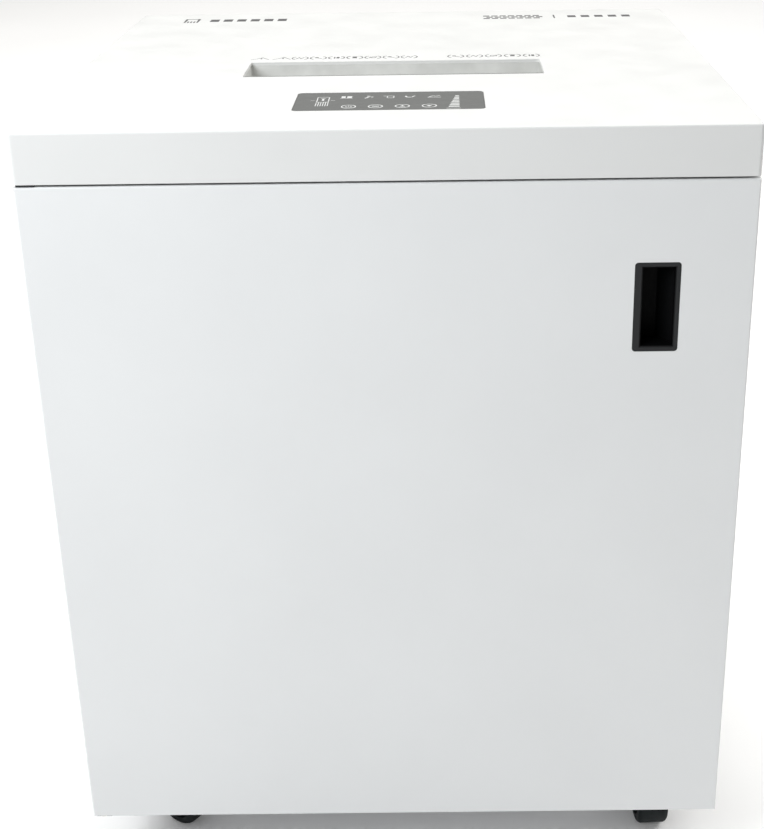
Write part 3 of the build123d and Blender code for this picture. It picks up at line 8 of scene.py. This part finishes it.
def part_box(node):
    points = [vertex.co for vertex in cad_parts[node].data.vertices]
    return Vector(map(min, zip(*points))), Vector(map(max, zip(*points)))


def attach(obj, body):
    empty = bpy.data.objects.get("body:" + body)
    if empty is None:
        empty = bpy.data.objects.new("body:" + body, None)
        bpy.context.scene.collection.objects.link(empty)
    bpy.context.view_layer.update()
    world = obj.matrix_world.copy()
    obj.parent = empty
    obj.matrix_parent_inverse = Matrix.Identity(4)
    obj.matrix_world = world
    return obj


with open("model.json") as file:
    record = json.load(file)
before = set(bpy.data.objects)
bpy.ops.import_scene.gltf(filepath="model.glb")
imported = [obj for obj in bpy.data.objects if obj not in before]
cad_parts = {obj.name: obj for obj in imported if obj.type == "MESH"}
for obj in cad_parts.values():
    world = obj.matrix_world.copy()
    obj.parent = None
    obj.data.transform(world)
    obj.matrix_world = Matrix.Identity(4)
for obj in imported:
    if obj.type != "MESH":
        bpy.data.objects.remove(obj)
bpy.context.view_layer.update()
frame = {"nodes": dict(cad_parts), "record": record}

# Looks for the cabinet paper shredder. Everything is in metres, in the CAD's own frame:
# X to the right, Y to the back, Z up, origin on the floor under the middle of the cabinet.
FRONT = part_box("top_cover")[0].y
LID_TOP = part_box("top_cover")[1].z
MM = 0.001

# ---------------------------------------------------------------- material tools


class Material:
    """A node material with a Principled shader and textures laid out in object space, in metres."""

    def __init__(self, name):
        self.material = bpy.data.materials.new(name)
        self.material.use_nodes = True
        self.nodes = self.material.node_tree.nodes
        self.links = self.material.node_tree.links
        self.shader = self.nodes["Principled BSDF"]
        self.place = self.nodes.new("ShaderNodeTexCoord").outputs["Object"]

    def set(self, **values):
        for socket, value in values.items():
            self.shader.inputs[socket.replace("_", " ")].default_value = value

    def stretched(self, scale):
        """Object coordinates scaled by a different amount along each axis."""
        mapping = self.nodes.new("ShaderNodeMapping")
        mapping.inputs["Scale"].default_value = scale
        self.links.new(self.place, mapping.inputs["Vector"])
        return mapping.outputs["Vector"]

    def noise(self, size, detail=3.0, place=None):
        """Noise whose lumps are about `size` metres across."""
        node = self.nodes.new("ShaderNodeTexNoise")
        node.inputs["Scale"].default_value = 1.0 / size
        node.inputs["Detail"].default_value = detail
        self.links.new(place or self.place, node.inputs["Vector"])
        return node.outputs["Fac"]

    def cells(self, size):
        """Voronoi cells about `size` metres across."""
        node = self.nodes.new("ShaderNodeTexVoronoi")
        node.inputs["Scale"].default_value = 1.0 / size
        self.links.new(self.place, node.inputs["Vector"])
        return node.outputs["Color"]

    def spread(self, source, low, high, start=0.3, end=0.7):
        """Map a texture's middle range onto low..high."""
        node = self.nodes.new("ShaderNodeMapRange")
        node.inputs["From Min"].default_value = start
        node.inputs["From Max"].default_value = end
        node.inputs["To Min"].default_value = low
        node.inputs["To Max"].default_value = high
        self.links.new(source, node.inputs["Value"])
        return node.outputs["Result"]

    def blend_colours(self, source, low, high, start=0.3, end=0.7):
        """Blend between two colours by a texture."""
        node = self.nodes.new("ShaderNodeMix")
        node.data_type = "RGBA"
        node.inputs["A"].default_value = (*low, 1.0)
        node.inputs["B"].default_value = (*high, 1.0)
        self.links.new(self.spread(source, 0.0, 1.0, start, end), node.inputs["Factor"])
        return node.outputs["Result"]

    def colour(self, source):
        self.links.new(source, self.shader.inputs["Base Color"])

    def roughness(self, source):
        self.links.new(source, self.shader.inputs["Roughness"])

    def bump(self, source, height, previous=None):
        """Relief of about `height` metres, on top of a finer or coarser one."""
        node = self.nodes.new("ShaderNodeBump")
        node.inputs["Distance"].default_value = height
        node.inputs["Strength"].default_value = 1.0
        self.links.new(source, node.inputs["Height"])
        if previous:
            self.links.new(previous, node.inputs["Normal"])
        self.links.new(node.outputs["Normal"], self.shader.inputs["Normal"])
        return node.outputs["Normal"]


def shade(colour, factor):
    """A colour made lighter or darker."""
    return tuple(min(1.0, channel * factor) for channel in colour)


# ---------------------------------------------------------------- materials


def powder_coat(name, colour):
    """Sprayed and baked powder: a low orange peel with a fine grain over it."""
    m = Material(name)
    m.colour(m.blend_colours(m.noise(0.12), shade(colour, 0.985), shade(colour, 1.01)))
    m.roughness(m.spread(m.noise(0.03), 0.36, 0.46))
    peel = m.bump(m.noise(0.0028, detail=1.0), 0.000022)
    m.bump(m.noise(0.0007, detail=2.0), 0.000012, peel)
    m.set(Specular_IOR_Level=0.45)
    return m.material


def moulded_plastic(name, colour, roughness, grain=0.0005, relief=0.00002):
    """Injection-moulded plastic with a spark-eroded grain."""
    m = Material(name)
    m.colour(m.blend_colours(m.noise(0.02), shade(colour, 0.9), shade(colour, 1.1)))
    m.roughness(m.spread(m.noise(0.008), roughness - 0.06, roughness + 0.06))
    coarse = m.bump(m.noise(grain * 4, detail=1.0), relief * 0.6)
    m.bump(m.noise(grain, detail=2.0), relief, coarse)
    return m.material


# The outer faces' black, and a near-black that is painted shade for the inside of a recess.
RIM_BLACK = (0.034, 0.035, 0.036)
RECESS_PAINTED_SHADE = (0.0025, 0.0027, 0.003)
RIM_DEPTH = 0.0012


def black_moulding(name):
    """Black moulded plastic: outer faces a lighter grey-black, with painted shade making it darker
    inside a recess.
    """
    m = Material(name)
    depth = m.nodes.new("ShaderNodeSeparateXYZ")
    m.links.new(m.place, depth.inputs["Vector"])
    # Painted shade: the colour darkens from the rim's black to near-black over the first 1.2 mm behind
    # the front face.
    blend = m.blend_colours(depth.outputs["Y"], RIM_BLACK, RECESS_PAINTED_SHADE, FRONT, FRONT + RIM_DEPTH)
    m.colour(blend)
    m.roughness(m.spread(m.noise(0.004), 0.52, 0.64))
    m.bump(m.noise(0.0006), 0.00004)
    m.set(Specular_IOR_Level=0.08)
    return m.material


def galvanised_sheet(name):
    """Hot-dip galvanised steel: flat crystals of slightly different greys."""
    m = Material(name)
    m.colour(m.blend_colours(m.cells(0.009), (0.46, 0.47, 0.48), (0.62, 0.63, 0.65), 0.0, 1.0))
    m.roughness(m.spread(m.cells(0.009), 0.30, 0.52, 0.0, 1.0))
    m.bump(m.noise(0.002), 0.00001)
    m.set(Metallic=0.9)
    return m.material


def machined_steel(name, colour, roughness, stretch):
    """Steel with tool marks drawn out along the axis whose stretch is smallest."""
    m = Material(name)
    marks = m.noise(0.0006, detail=4.0, place=m.stretched(stretch))
    m.colour(m.blend_colours(m.noise(0.015), shade(colour, 0.85), shade(colour, 1.12)))
    m.roughness(m.spread(marks, roughness - 0.08, roughness + 0.1))
    m.bump(marks, 0.000006)
    m.set(Metallic=1.0)
    return m.material


def cast_aluminium(name):
    """Bead-blasted casting."""
    m = Material(name)
    m.colour(m.blend_colours(m.noise(0.03), (0.36, 0.37, 0.38), (0.48, 0.49, 0.50)))
    m.roughness(m.spread(m.noise(0.01), 0.45, 0.6))
    m.bump(m.noise(0.0012, detail=4.0), 0.00006)
    m.set(Metallic=0.85)
    return m.material


def moulded_rubber(name):
    """Solid tyre rubber with moulding grain and a little dust worked into it."""
    m = Material(name)
    dust = m.noise(0.006, detail=5.0)
    m.colour(m.blend_colours(dust, (0.006, 0.009, 0.010), (0.015, 0.019, 0.020), 0.4, 0.75))
    m.roughness(m.spread(dust, 0.5, 0.72))
    m.bump(m.noise(0.0006), 0.00004)
    m.set(Specular_IOR_Level=0.2)
    return m.material


def printed_film(name, colour):
    """Matt polyester film, printed on its underside, with a fine grain."""
    m = Material(name)
    m.colour(m.blend_colours(m.noise(0.0006, detail=1.0), shade(colour, 0.94), shade(colour, 1.05)))
    m.roughness(m.spread(m.noise(0.01), 0.34, 0.42))
    m.bump(m.noise(0.0004, detail=1.0), 0.000006)
    m.set(Specular_IOR_Level=0.3)
    return m.material


def printing_ink(name, colour):
    """Screen-printed ink with slightly uneven cover."""
    m = Material(name)
    m.colour(m.blend_colours(m.noise(0.0004), shade(colour, 0.9), shade(colour, 1.06)))
    m.roughness(m.spread(m.noise(0.003), 0.45, 0.6))
    m.bump(m.noise(0.0003), 0.000004)
    return m.material


def circuit_board(name):
    """Green solder mask with lighter tracks showing through."""
    m = Material(name)
    tracks = m.nodes.new("ShaderNodeTexBrick")
    tracks.inputs["Scale"].default_value = 60.0
    tracks.inputs["Mortar Size"].default_value = 0.06
    tracks.inputs["Color1"].default_value = (0.012, 0.11, 0.045, 1.0)
    tracks.inputs["Color2"].default_value = (0.010, 0.09, 0.038, 1.0)
    tracks.inputs["Mortar"].default_value = (0.03, 0.22, 0.09, 1.0)
    m.links.new(m.place, tracks.inputs["Vector"])
    m.colour(tracks.outputs["Color"])
    m.roughness(m.spread(m.noise(0.004), 0.22, 0.34))
    m.bump(tracks.outputs["Fac"], 0.00003)
    return m.material


def natural_nylon(name):
    """Off-white nylon, slightly translucent."""
    m = Material(name)
    m.colour(m.blend_colours(m.noise(0.01), (0.74, 0.72, 0.64), (0.84, 0.82, 0.75)))
    m.roughness(m.spread(m.noise(0.004), 0.36, 0.48))
    m.bump(m.noise(0.0008), 0.00001)
    m.set(Subsurface_Weight=0.15, Subsurface_Scale=0.002)
    return m.material


ALONG_X = (0.02, 1.0, 1.0)
ALONG_Z = (1.0, 1.0, 0.03)
finishes = {
    "powder_coat": powder_coat("powder_coat", (0.80, 0.81, 0.81)),
    # The lid's coat is the door's white powder coat made a little darker: painted shade that holds down
    # the lid top, which the overhead light lights brightest.
    "lid_coat": powder_coat("lid_coat", (0.775, 0.78, 0.77)),
    "galvanised": galvanised_sheet("galvanised"),
    "steel": machined_steel("steel", (0.52, 0.53, 0.54), 0.33, ALONG_Z),
    "hardened_steel": machined_steel("hardened_steel", (0.20, 0.205, 0.21), 0.30, ALONG_X),
    "zinc": machined_steel("zinc", (0.66, 0.67, 0.69), 0.28, ALONG_Z),
    "throat_plastic": moulded_plastic("throat_plastic", (0.57, 0.575, 0.555), 0.42),
    "overlay_film": printed_film("overlay_film", (0.125, 0.128, 0.124)),
    "black_plastic": black_moulding("black_plastic"),
    "dark_plastic": moulded_plastic("dark_plastic", (0.045, 0.047, 0.05), 0.42),
    "bin_plastic": moulded_plastic("bin_plastic", (0.05, 0.053, 0.057), 0.45, 0.0007, 0.00005),
    "gear_nylon": natural_nylon("gear_nylon"),
    "circuit_board": circuit_board("circuit_board"),
    "capacitor_case": machined_steel("capacitor_case", (0.62, 0.63, 0.65), 0.30, ALONG_X),
    "motor_casting": cast_aluminium("motor_casting"),
    "caster_rubber": moulded_rubber("caster_rubber"),
    "caster_steel": moulded_plastic("caster_steel", (0.02, 0.02, 0.022), 0.38, 0.0009, 0.00002),
}
for part in frame["record"]["subparts"]:
    mesh = frame["nodes"][part["node"]].data
    mesh.materials.clear()
    mesh.materials.append(finishes[part["material_slot"]])

white_ink = printing_ink("white_ink", (0.70, 0.71, 0.70))
grey_ink = printing_ink("grey_ink", (0.07, 0.07, 0.073))
# Dark ink for the film's printed border, also used for the painted shadow along the mouth's front edge.
border_ink_and_painted_shadow = printing_ink("border_ink_and_painted_shadow", (0.10, 0.10, 0.10))

# ---------------------------------------------------------------- printed marks


class Print:
    """Marks drawn in millimetres on a level face, as thin closed solids."""

    def __init__(self, origin, thickness):
        self.origin = Vector(origin)
        self.thickness = thickness
        self.points = []
        self.faces = []

    def add(self, outline):
        """One filled convex outline, given anticlockwise as (x, y) in millimetres."""
        first = len(self.points)
        count = len(outline)
        for level in (0.0, self.thickness):
            for x, y in outline:
                self.points.append(self.origin + Vector((x * MM, y * MM, level)))
        self.faces.append([first + i for i in reversed(range(count))])
        self.faces.append([first + count + i for i in range(count)])
        for i in range(count):
            j = (i + 1) % count
            self.faces.append([first + i, first + j, first + count + j, first + count + i])

    def box(self, x, y, width, depth):
        """A filled rectangle about its middle."""
        left, right = x - width / 2, x + width / 2
        near, far = y - depth / 2, y + depth / 2
        self.add([(left, near), (right, near), (right, far), (left, far)])

    def line(self, start, end, width):
        """A straight stroke."""
        along = (Vector(end) - Vector(start)).normalized() * width / 2
        side = Vector((-along.y, along.x))
        a, b = Vector(start) - along, Vector(end) + along
        self.add([tuple(a - side), tuple(b - side), tuple(b + side), tuple(a + side)])

    def strokes(self, corners, width, at=(0.0, 0.0)):
        """A run of straight strokes through the corners, which are measured from `at`."""
        spots = [(at[0] + x, at[1] + y) for x, y in corners]
        for start, end in zip(spots, spots[1:]):
            self.line(start, end, width)

    def arc(self, x, y, radius, width, start=0.0, end=360.0, steps=48, stretch=1.0):
        """A curved stroke, from start to end in degrees; stretch lengthens it along Y."""
        inner, outer = radius - width / 2, radius + width / 2
        first = len(self.points)
        for i in range(steps + 1):
            angle = math.radians(start + (end - start) * i / steps)
            for reach in (inner, outer):
                spot_x = (x + reach * math.cos(angle)) * MM
                spot_y = (y + stretch * reach * math.sin(angle)) * MM
                for level in (0.0, self.thickness):
                    self.points.append(self.origin + Vector((spot_x, spot_y, level)))
        for i in range(steps):
            a, b = first + 4 * i, first + 4 * i + 4
            self.faces += [
                [a, b, b + 2, a + 2],
                [a + 1, a + 3, b + 3, b + 1],
                [a, a + 1, b + 1, b],
                [a + 2, b + 2, b + 3, a + 3],
            ]
        last = first + 4 * steps
        self.faces.append([first, first + 2, first + 3, first + 1])
        self.faces.append([last, last + 1, last + 3, last + 2])

    def disc(self, x, y, radius, steps=24):
        """A filled circle."""
        turns = [2 * math.pi * i / steps for i in range(steps)]
        self.add([(x + radius * math.cos(t), y + radius * math.sin(t)) for t in turns])

    def make(self, name, material, slot):
        """Turn the marks into one piece that rides on the cabinet."""
        mesh = bpy.data.meshes.new(name)
        mesh.from_pydata([tuple(p) for p in self.points], [], self.faces)
        mesh.validate()
        mesh.materials.append(material)
        piece = bpy.data.objects.new(name, mesh)
        bpy.context.scene.collection.objects.link(piece)
        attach(piece, "cabinet")


overlay_low, overlay_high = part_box("control_overlay")
# Ink thickness in metres; every other size of a mark is in millimetres.
INK = 0.00004
LID_INK = 0.00002


def overlay_print():
    return Print((0.0, FRONT, overlay_high.z), INK)


KEY_Y = 69.0
KEY_XS = [-28.95, -9.65, 9.65, 28.95]
KEY_RADIUS = 5.0
KEY_RING = 0.9
SIGN_HALF = 2.2
SIGN_LINE = 0.6


def draw_keys():
    """Four flat keys: power, stop, forward and reverse, each in a ring."""
    ink = overlay_print()
    for x in KEY_XS:
        ink.arc(x, KEY_Y, KEY_RADIUS, KEY_RING)
    power, stop, forward, reverse = KEY_XS
    ink.arc(power, KEY_Y - 0.3, 2.0, SIGN_LINE, start=125.0, end=415.0, steps=28)
    ink.line((power, KEY_Y + 0.2), (power, KEY_Y + SIGN_HALF), SIGN_LINE)
    for bar_y in (-1.3, 0.0, 1.3):
        ink.strokes([(-SIGN_HALF, bar_y), (SIGN_HALF, bar_y)], SIGN_LINE, (stop, KEY_Y))
    low, high, tip = KEY_Y - 1.5, KEY_Y + 1.5, 2.3
    ink.add([(forward - SIGN_HALF, low), (forward + SIGN_HALF, low), (forward, KEY_Y + tip)])
    ink.add([(reverse - SIGN_HALF, high), (reverse, KEY_Y - tip), (reverse + SIGN_HALF, high)])
    ink.make("key_marks", white_ink, "overlay_film")


STATUS_Y = 99.5


def draw_status_symbols():
    """Door, cooling, overload, oil and jam symbols in a row above the keys."""
    ink = overlay_print()
    door_x, cool_x, sheet_x, oil_x, jam_x = -32.0, -15.7, -0.9, 14.5, 32.4
    cooling, sheet, oil, jam = [(x, STATUS_Y) for x in (cool_x, sheet_x, oil_x, jam_x)]
    ink.box(door_x - 2.3, STATUS_Y, 3.0, 7.5)
    ink.box(door_x + 2.2, STATUS_Y, 3.6, 7.5)
    ink.box(door_x, STATUS_Y - 3.4, 9.0, 0.7)
    ink.strokes([(-2.4, -3.0), (0.3, 0.4)], 1.3, cooling)
    ink.strokes([(-0.3, 3.6), (2.6, 0.2)], 1.6, cooling)
    ink.strokes([(-0.6, 0.6), (1.4, 1.6)], 1.4, cooling)
    ink.strokes([(-3.8, 3.4), (3.6, 3.4)], 0.8, sheet)
    ink.strokes([(-1.2, 3.4), (-1.2, -3.2), (3.6, -3.2)], 0.8, sheet)
    ink.strokes([(3.6, -3.2), (3.6, 3.4)], 0.8, sheet)
    ink.arc(oil_x, STATUS_Y + 1.2, 3.0, 1.4, start=150.0, end=300.0, steps=16)
    ink.strokes([(1.2, -1.6), (3.4, 2.4)], 1.0, oil)
    ink.strokes([(-4.4, -2.6), (4.4, -2.6)], 0.9, jam)
    ink.strokes([(-3.6, -1.0), (-0.6, 2.8), (1.0, 0.6)], 0.9, jam)
    ink.strokes([(1.0, 0.6), (3.8, 3.0)], 0.9, jam)
    ink.make("status_marks", white_ink, "overlay_film")


def draw_gauge():
    """Load gauge: eight bars, level at their right ends and shorter towards the top."""
    ink = overlay_print()
    right, low, pitch, thickness = 50.6, 66.0, 4.9, 2.6
    longest, shortening = 7.8, 0.72
    for i in range(8):
        length = longest - shortening * i
        ink.box(right - length / 2, low + pitch * i, length, thickness)
    ink.box(right - 4.4, 60.2, 10.0, 1.0)
    ink.make("gauge_marks", white_ink, "overlay_film")


def draw_machine_symbol():
    """A sheet going into a shredder and coming out as strips."""
    ink = overlay_print()
    x, low, mouth, high = -48.8, 72.0, 84.0, 101.0
    half, strip_pitch = 4.2, 1.72
    ink.strokes([(x - half, mouth), (x - half, high), (x + half, high), (x + half, mouth)], 0.7)
    ink.line((x - 1.6, high - 4.5), (x + 1.6, high - 4.5), 0.7)
    ink.line((x, high - 6.5), (x, high - 11.0), 1.6)
    for i in range(6):
        strip_x = x - 4.3 + strip_pitch * i
        ink.line((strip_x, low), (strip_x, mouth), 0.6)
    ink.line((x - half, mouth + 0.5), (x + half, mouth + 0.5), 0.8)
    for side in (-1, 1):
        ink.line((x + side * 6.0, 90.0), (x + side * 8.6, 90.0), 0.5)
    ink.make("machine_marks", white_ink, "overlay_film")


def draw_overlay_border():
    """A darker line round the film's edge."""
    ink = overlay_print()
    inset, corner, width = 0.4, 3.4, 0.6
    half = (overlay_high.x - overlay_low.x) / 2 / MM - inset
    near = (overlay_low.y - FRONT) / MM + inset
    far = (overlay_high.y - FRONT) / MM - inset
    for y in (near, far):
        ink.line((-half + corner, y), (half - corner, y), width)
    for side in (-1, 1):
        ink.line((side * half, near + corner), (side * half, far - corner), width)
    for x, y, start in ((half, far, 0.0), (-half, far, 90.0), (-half, near, 180.0), (half, near, 270.0)):
        centre_x = x - math.copysign(corner, x)
        centre_y = y - corner if y == far else y + corner
        ink.arc(centre_x, centre_y, corner, width, start=start, end=start + 90.0, steps=10)
    ink.make("overlay_border", border_ink_and_painted_shadow, "overlay_film")


def lid_print():
    return Print((0.0, FRONT, LID_TOP), LID_INK)


PICTOGRAM_Y = 253.0
MOUTH_HALF_WIDTH = 119.0
MOUTH_NEAR = 178.9


def draw_pictogram(ink, x, kind):
    """A small symbol between two curved brackets; `kind` picks what stands between them."""
    y = PICTOGRAM_Y
    for side, start in ((-1, 115.0), (1, -65.0)):
        ink.arc(x + side * 1.6, y, 5.0, 1.0, start=start, end=start + 130.0, steps=14, stretch=1.2)
    if kind == 0:
        ink.box(x, y, 3.6, 6.0)
        ink.line((x - 2.6, y + 4.6), (x + 2.6, y + 4.6), 0.7)
    elif kind == 1:
        ink.strokes([(-3.0, -2.6), (-1.0, 2.8), (1.0, -2.6), (3.0, 2.8)], 0.8, (x, y))
    elif kind == 2:
        ink.disc(x - 1.4, y + 1.2, 1.7)
        ink.line((x - 1.0, y + 0.4), (x + 2.8, y - 3.0), 1.0)
    elif kind == 3:
        ink.arc(x, y, 2.6, 0.8, steps=20)
        ink.line((x - 3.2, y - 3.2), (x + 3.2, y + 3.2), 0.7)
    else:
        ink.box(x - 1.6, y, 1.2, 6.4)
        ink.box(x + 1.2, y, 2.4, 6.4)


def draw_roof(ink, x):
    """A wide peaked symbol."""
    place = (x, PICTOGRAM_Y)
    ink.strokes([(-7.4, -4.4), (-3.0, -1.0), (1.0, 4.6), (7.0, -4.4)], 0.8, place)
    ink.strokes([(0.6, -1.4), (0.6, 1.2)], 1.3, place)


def draw_pictograms():
    """Two groups of small use-and-care symbols behind the mouth."""
    ink = lid_print()
    for x in (-113.0, -95.0):
        draw_roof(ink, x)
    for first_x, pitch, kinds in ((-80.0, 15.2, (1, 2, 4, 0, 3, 2, 1)), (50.0, 15.8, (2, 1, 3, 0, 4))):
        for i, kind in enumerate(kinds):
            draw_pictogram(ink, first_x + pitch * i, kind)
    ink.make("lid_pictograms", grey_ink, "lid_coat")


def draw_back_marks():
    """Plain marks near the back edge: a page cut into strips, and a field of cut pieces with bars."""
    ink = lid_print()
    y, left, right = 449.0, -208.0, 82.0
    ink.strokes([(0.0, -2.0), (0.0, 9.0), (12.0, 9.0), (12.0, -2.0)], 2.2, (left, y))
    for i in range(5):
        ink.strokes([(3.0 * i, -10.0), (3.0 * i, -3.5)], 1.6, (left, y))
    for column in range(6):
        ink.box(left + 28.0 + 13.0 * column, y, 8.6, 13.0)
    for row in range(3):
        for column in range(7):
            ink.box(right + 8.0 * column + 3.0 * (row % 2), y - 7.0 + 7.0 * row, 6.0, 4.8)
    ink.box(right + 65.0, y, 1.4, 19.0)
    for column in range(5):
        ink.box(right + 82.0 + 13.0 * column, y, 8.0, 11.0)
    ink.make("lid_back_marks", grey_ink, "lid_coat")


def draw_mouth_painted_shadow():
    """Painted shadow: a dark line along the mouth's front edge, for the shade in the gap where the
    folded lip turns down.
    """
    ink = lid_print()
    end_gap, width = 1.5, 2.0
    half = MOUTH_HALF_WIDTH - end_gap
    ink.line((-half, MOUTH_NEAR), (half, MOUTH_NEAR), width)
    ink.make("mouth_painted_shadow", border_ink_and_painted_shadow, "lid_coat")


draw_keys()
draw_status_symbols()
draw_gauge()
draw_machine_symbol()
draw_overlay_border()
draw_pictograms()
draw_back_marks()
draw_mouth_painted_shadow()

# ---------------------------------------------------------------- room


def plain_floor():
    """A pale floor, big enough to fill the view."""
    mesh = bpy.data.meshes.new("floor")
    half = 12.0
    corners = [(-half, -half, 0), (half, -half, 0), (half, half, 0), (-half, half, 0)]
    mesh.from_pydata(corners, [], [[0, 1, 2, 3]])
    floor = bpy.data.objects.new("floor", mesh)
    bpy.context.scene.collection.objects.link(floor)
    m = Material("floor_paint")
    m.colour(m.blend_colours(m.noise(0.8), (0.90, 0.90, 0.90), (0.92, 0.92, 0.92)))
    m.roughness(m.spread(m.noise(0.4), 0.75, 0.85))
    m.set(Emission_Color=(1.0, 1.0, 1.0, 1.0), Emission_Strength=0.1)
    mesh.materials.append(m.material)


def soft_light(name, place, target, size, power, colour):
    """A square soft box aimed at a point."""
    data = bpy.data.lights.new(name, "AREA")
    data.shape = "SQUARE"
    data.size = size
    data.energy = power
    data.color = colour
    light = bpy.data.objects.new(name, data)
    light.location = place
    light.rotation_euler = (Vector(target) - Vector(place)).to_track_quat("-Z", "Y").to_euler()
    bpy.context.scene.collection.objects.link(light)


plain_floor()
# Each light: its name, place, target, size in metres, power in watts and colour.
soft_light("overhead", (0.0, 2.6, 3.0), (0.0, 2.6, 0.0), 6.6, 215.0, (1.0, 0.99, 0.965))
soft_light("front_left", (-0.86, -1.06, 1.34), (0.0, -0.24, 0.45), 0.7, 17.3, (0.95, 0.975, 1.0))
soft_light("rear_right", (1.7, 0.5, 1.1), (0.45, -0.2, 0.0), 0.8, 14.0, (1.0, 0.99, 0.97))
AMBIENT = 0.17
world = bpy.data.worlds.new("studio")
world.use_nodes = True
background = world.node_tree.nodes["Background"].inputs
background["Color"].default_value = (1.0, 1.0, 1.0, 1.0)
background["Strength"].default_value = AMBIENT
scene = bpy.context.scene
scene.world = world
scene.view_settings.view_transform = "Standard"

# ---------------------------------------------------------------- camera
# A little right of the middle, above the lid and looking down at the door.
EYE = Vector((0.0377, -1.1746, 0.861))
YAW = math.radians(-0.19)
PITCH = math.radians(21.88)
ROLL = math.radians(0.77)
FOCAL_IN_HEIGHTS = 1.7036
FILM = 36.0
SHIFT = (-0.070, -0.096)
NEAR_CLIP = 0.01

ahead = Vector((math.sin(YAW) * math.cos(PITCH), math.cos(YAW) * math.cos(PITCH), -math.sin(PITCH)))
level_right = Vector((math.cos(YAW), -math.sin(YAW), 0.0))
level_down = ahead.cross(level_right)
right = level_right * math.cos(ROLL) + level_down * math.sin(ROLL)
up = level_right * math.sin(ROLL) - level_down * math.cos(ROLL)
camera_data = bpy.data.cameras.new("camera")
camera_data.sensor_width = FILM
camera_data.lens = FOCAL_IN_HEIGHTS * FILM
camera_data.shift_x, camera_data.shift_y = SHIFT
camera_data.clip_start = NEAR_CLIP
camera = bpy.data.objects.new("camera", camera_data)
camera.matrix_world = Matrix.Translation(EYE) @ Matrix((right, up, -ahead)).transposed().to_4x4()
scene.collection.objects.link(camera)
scene.camera = camera
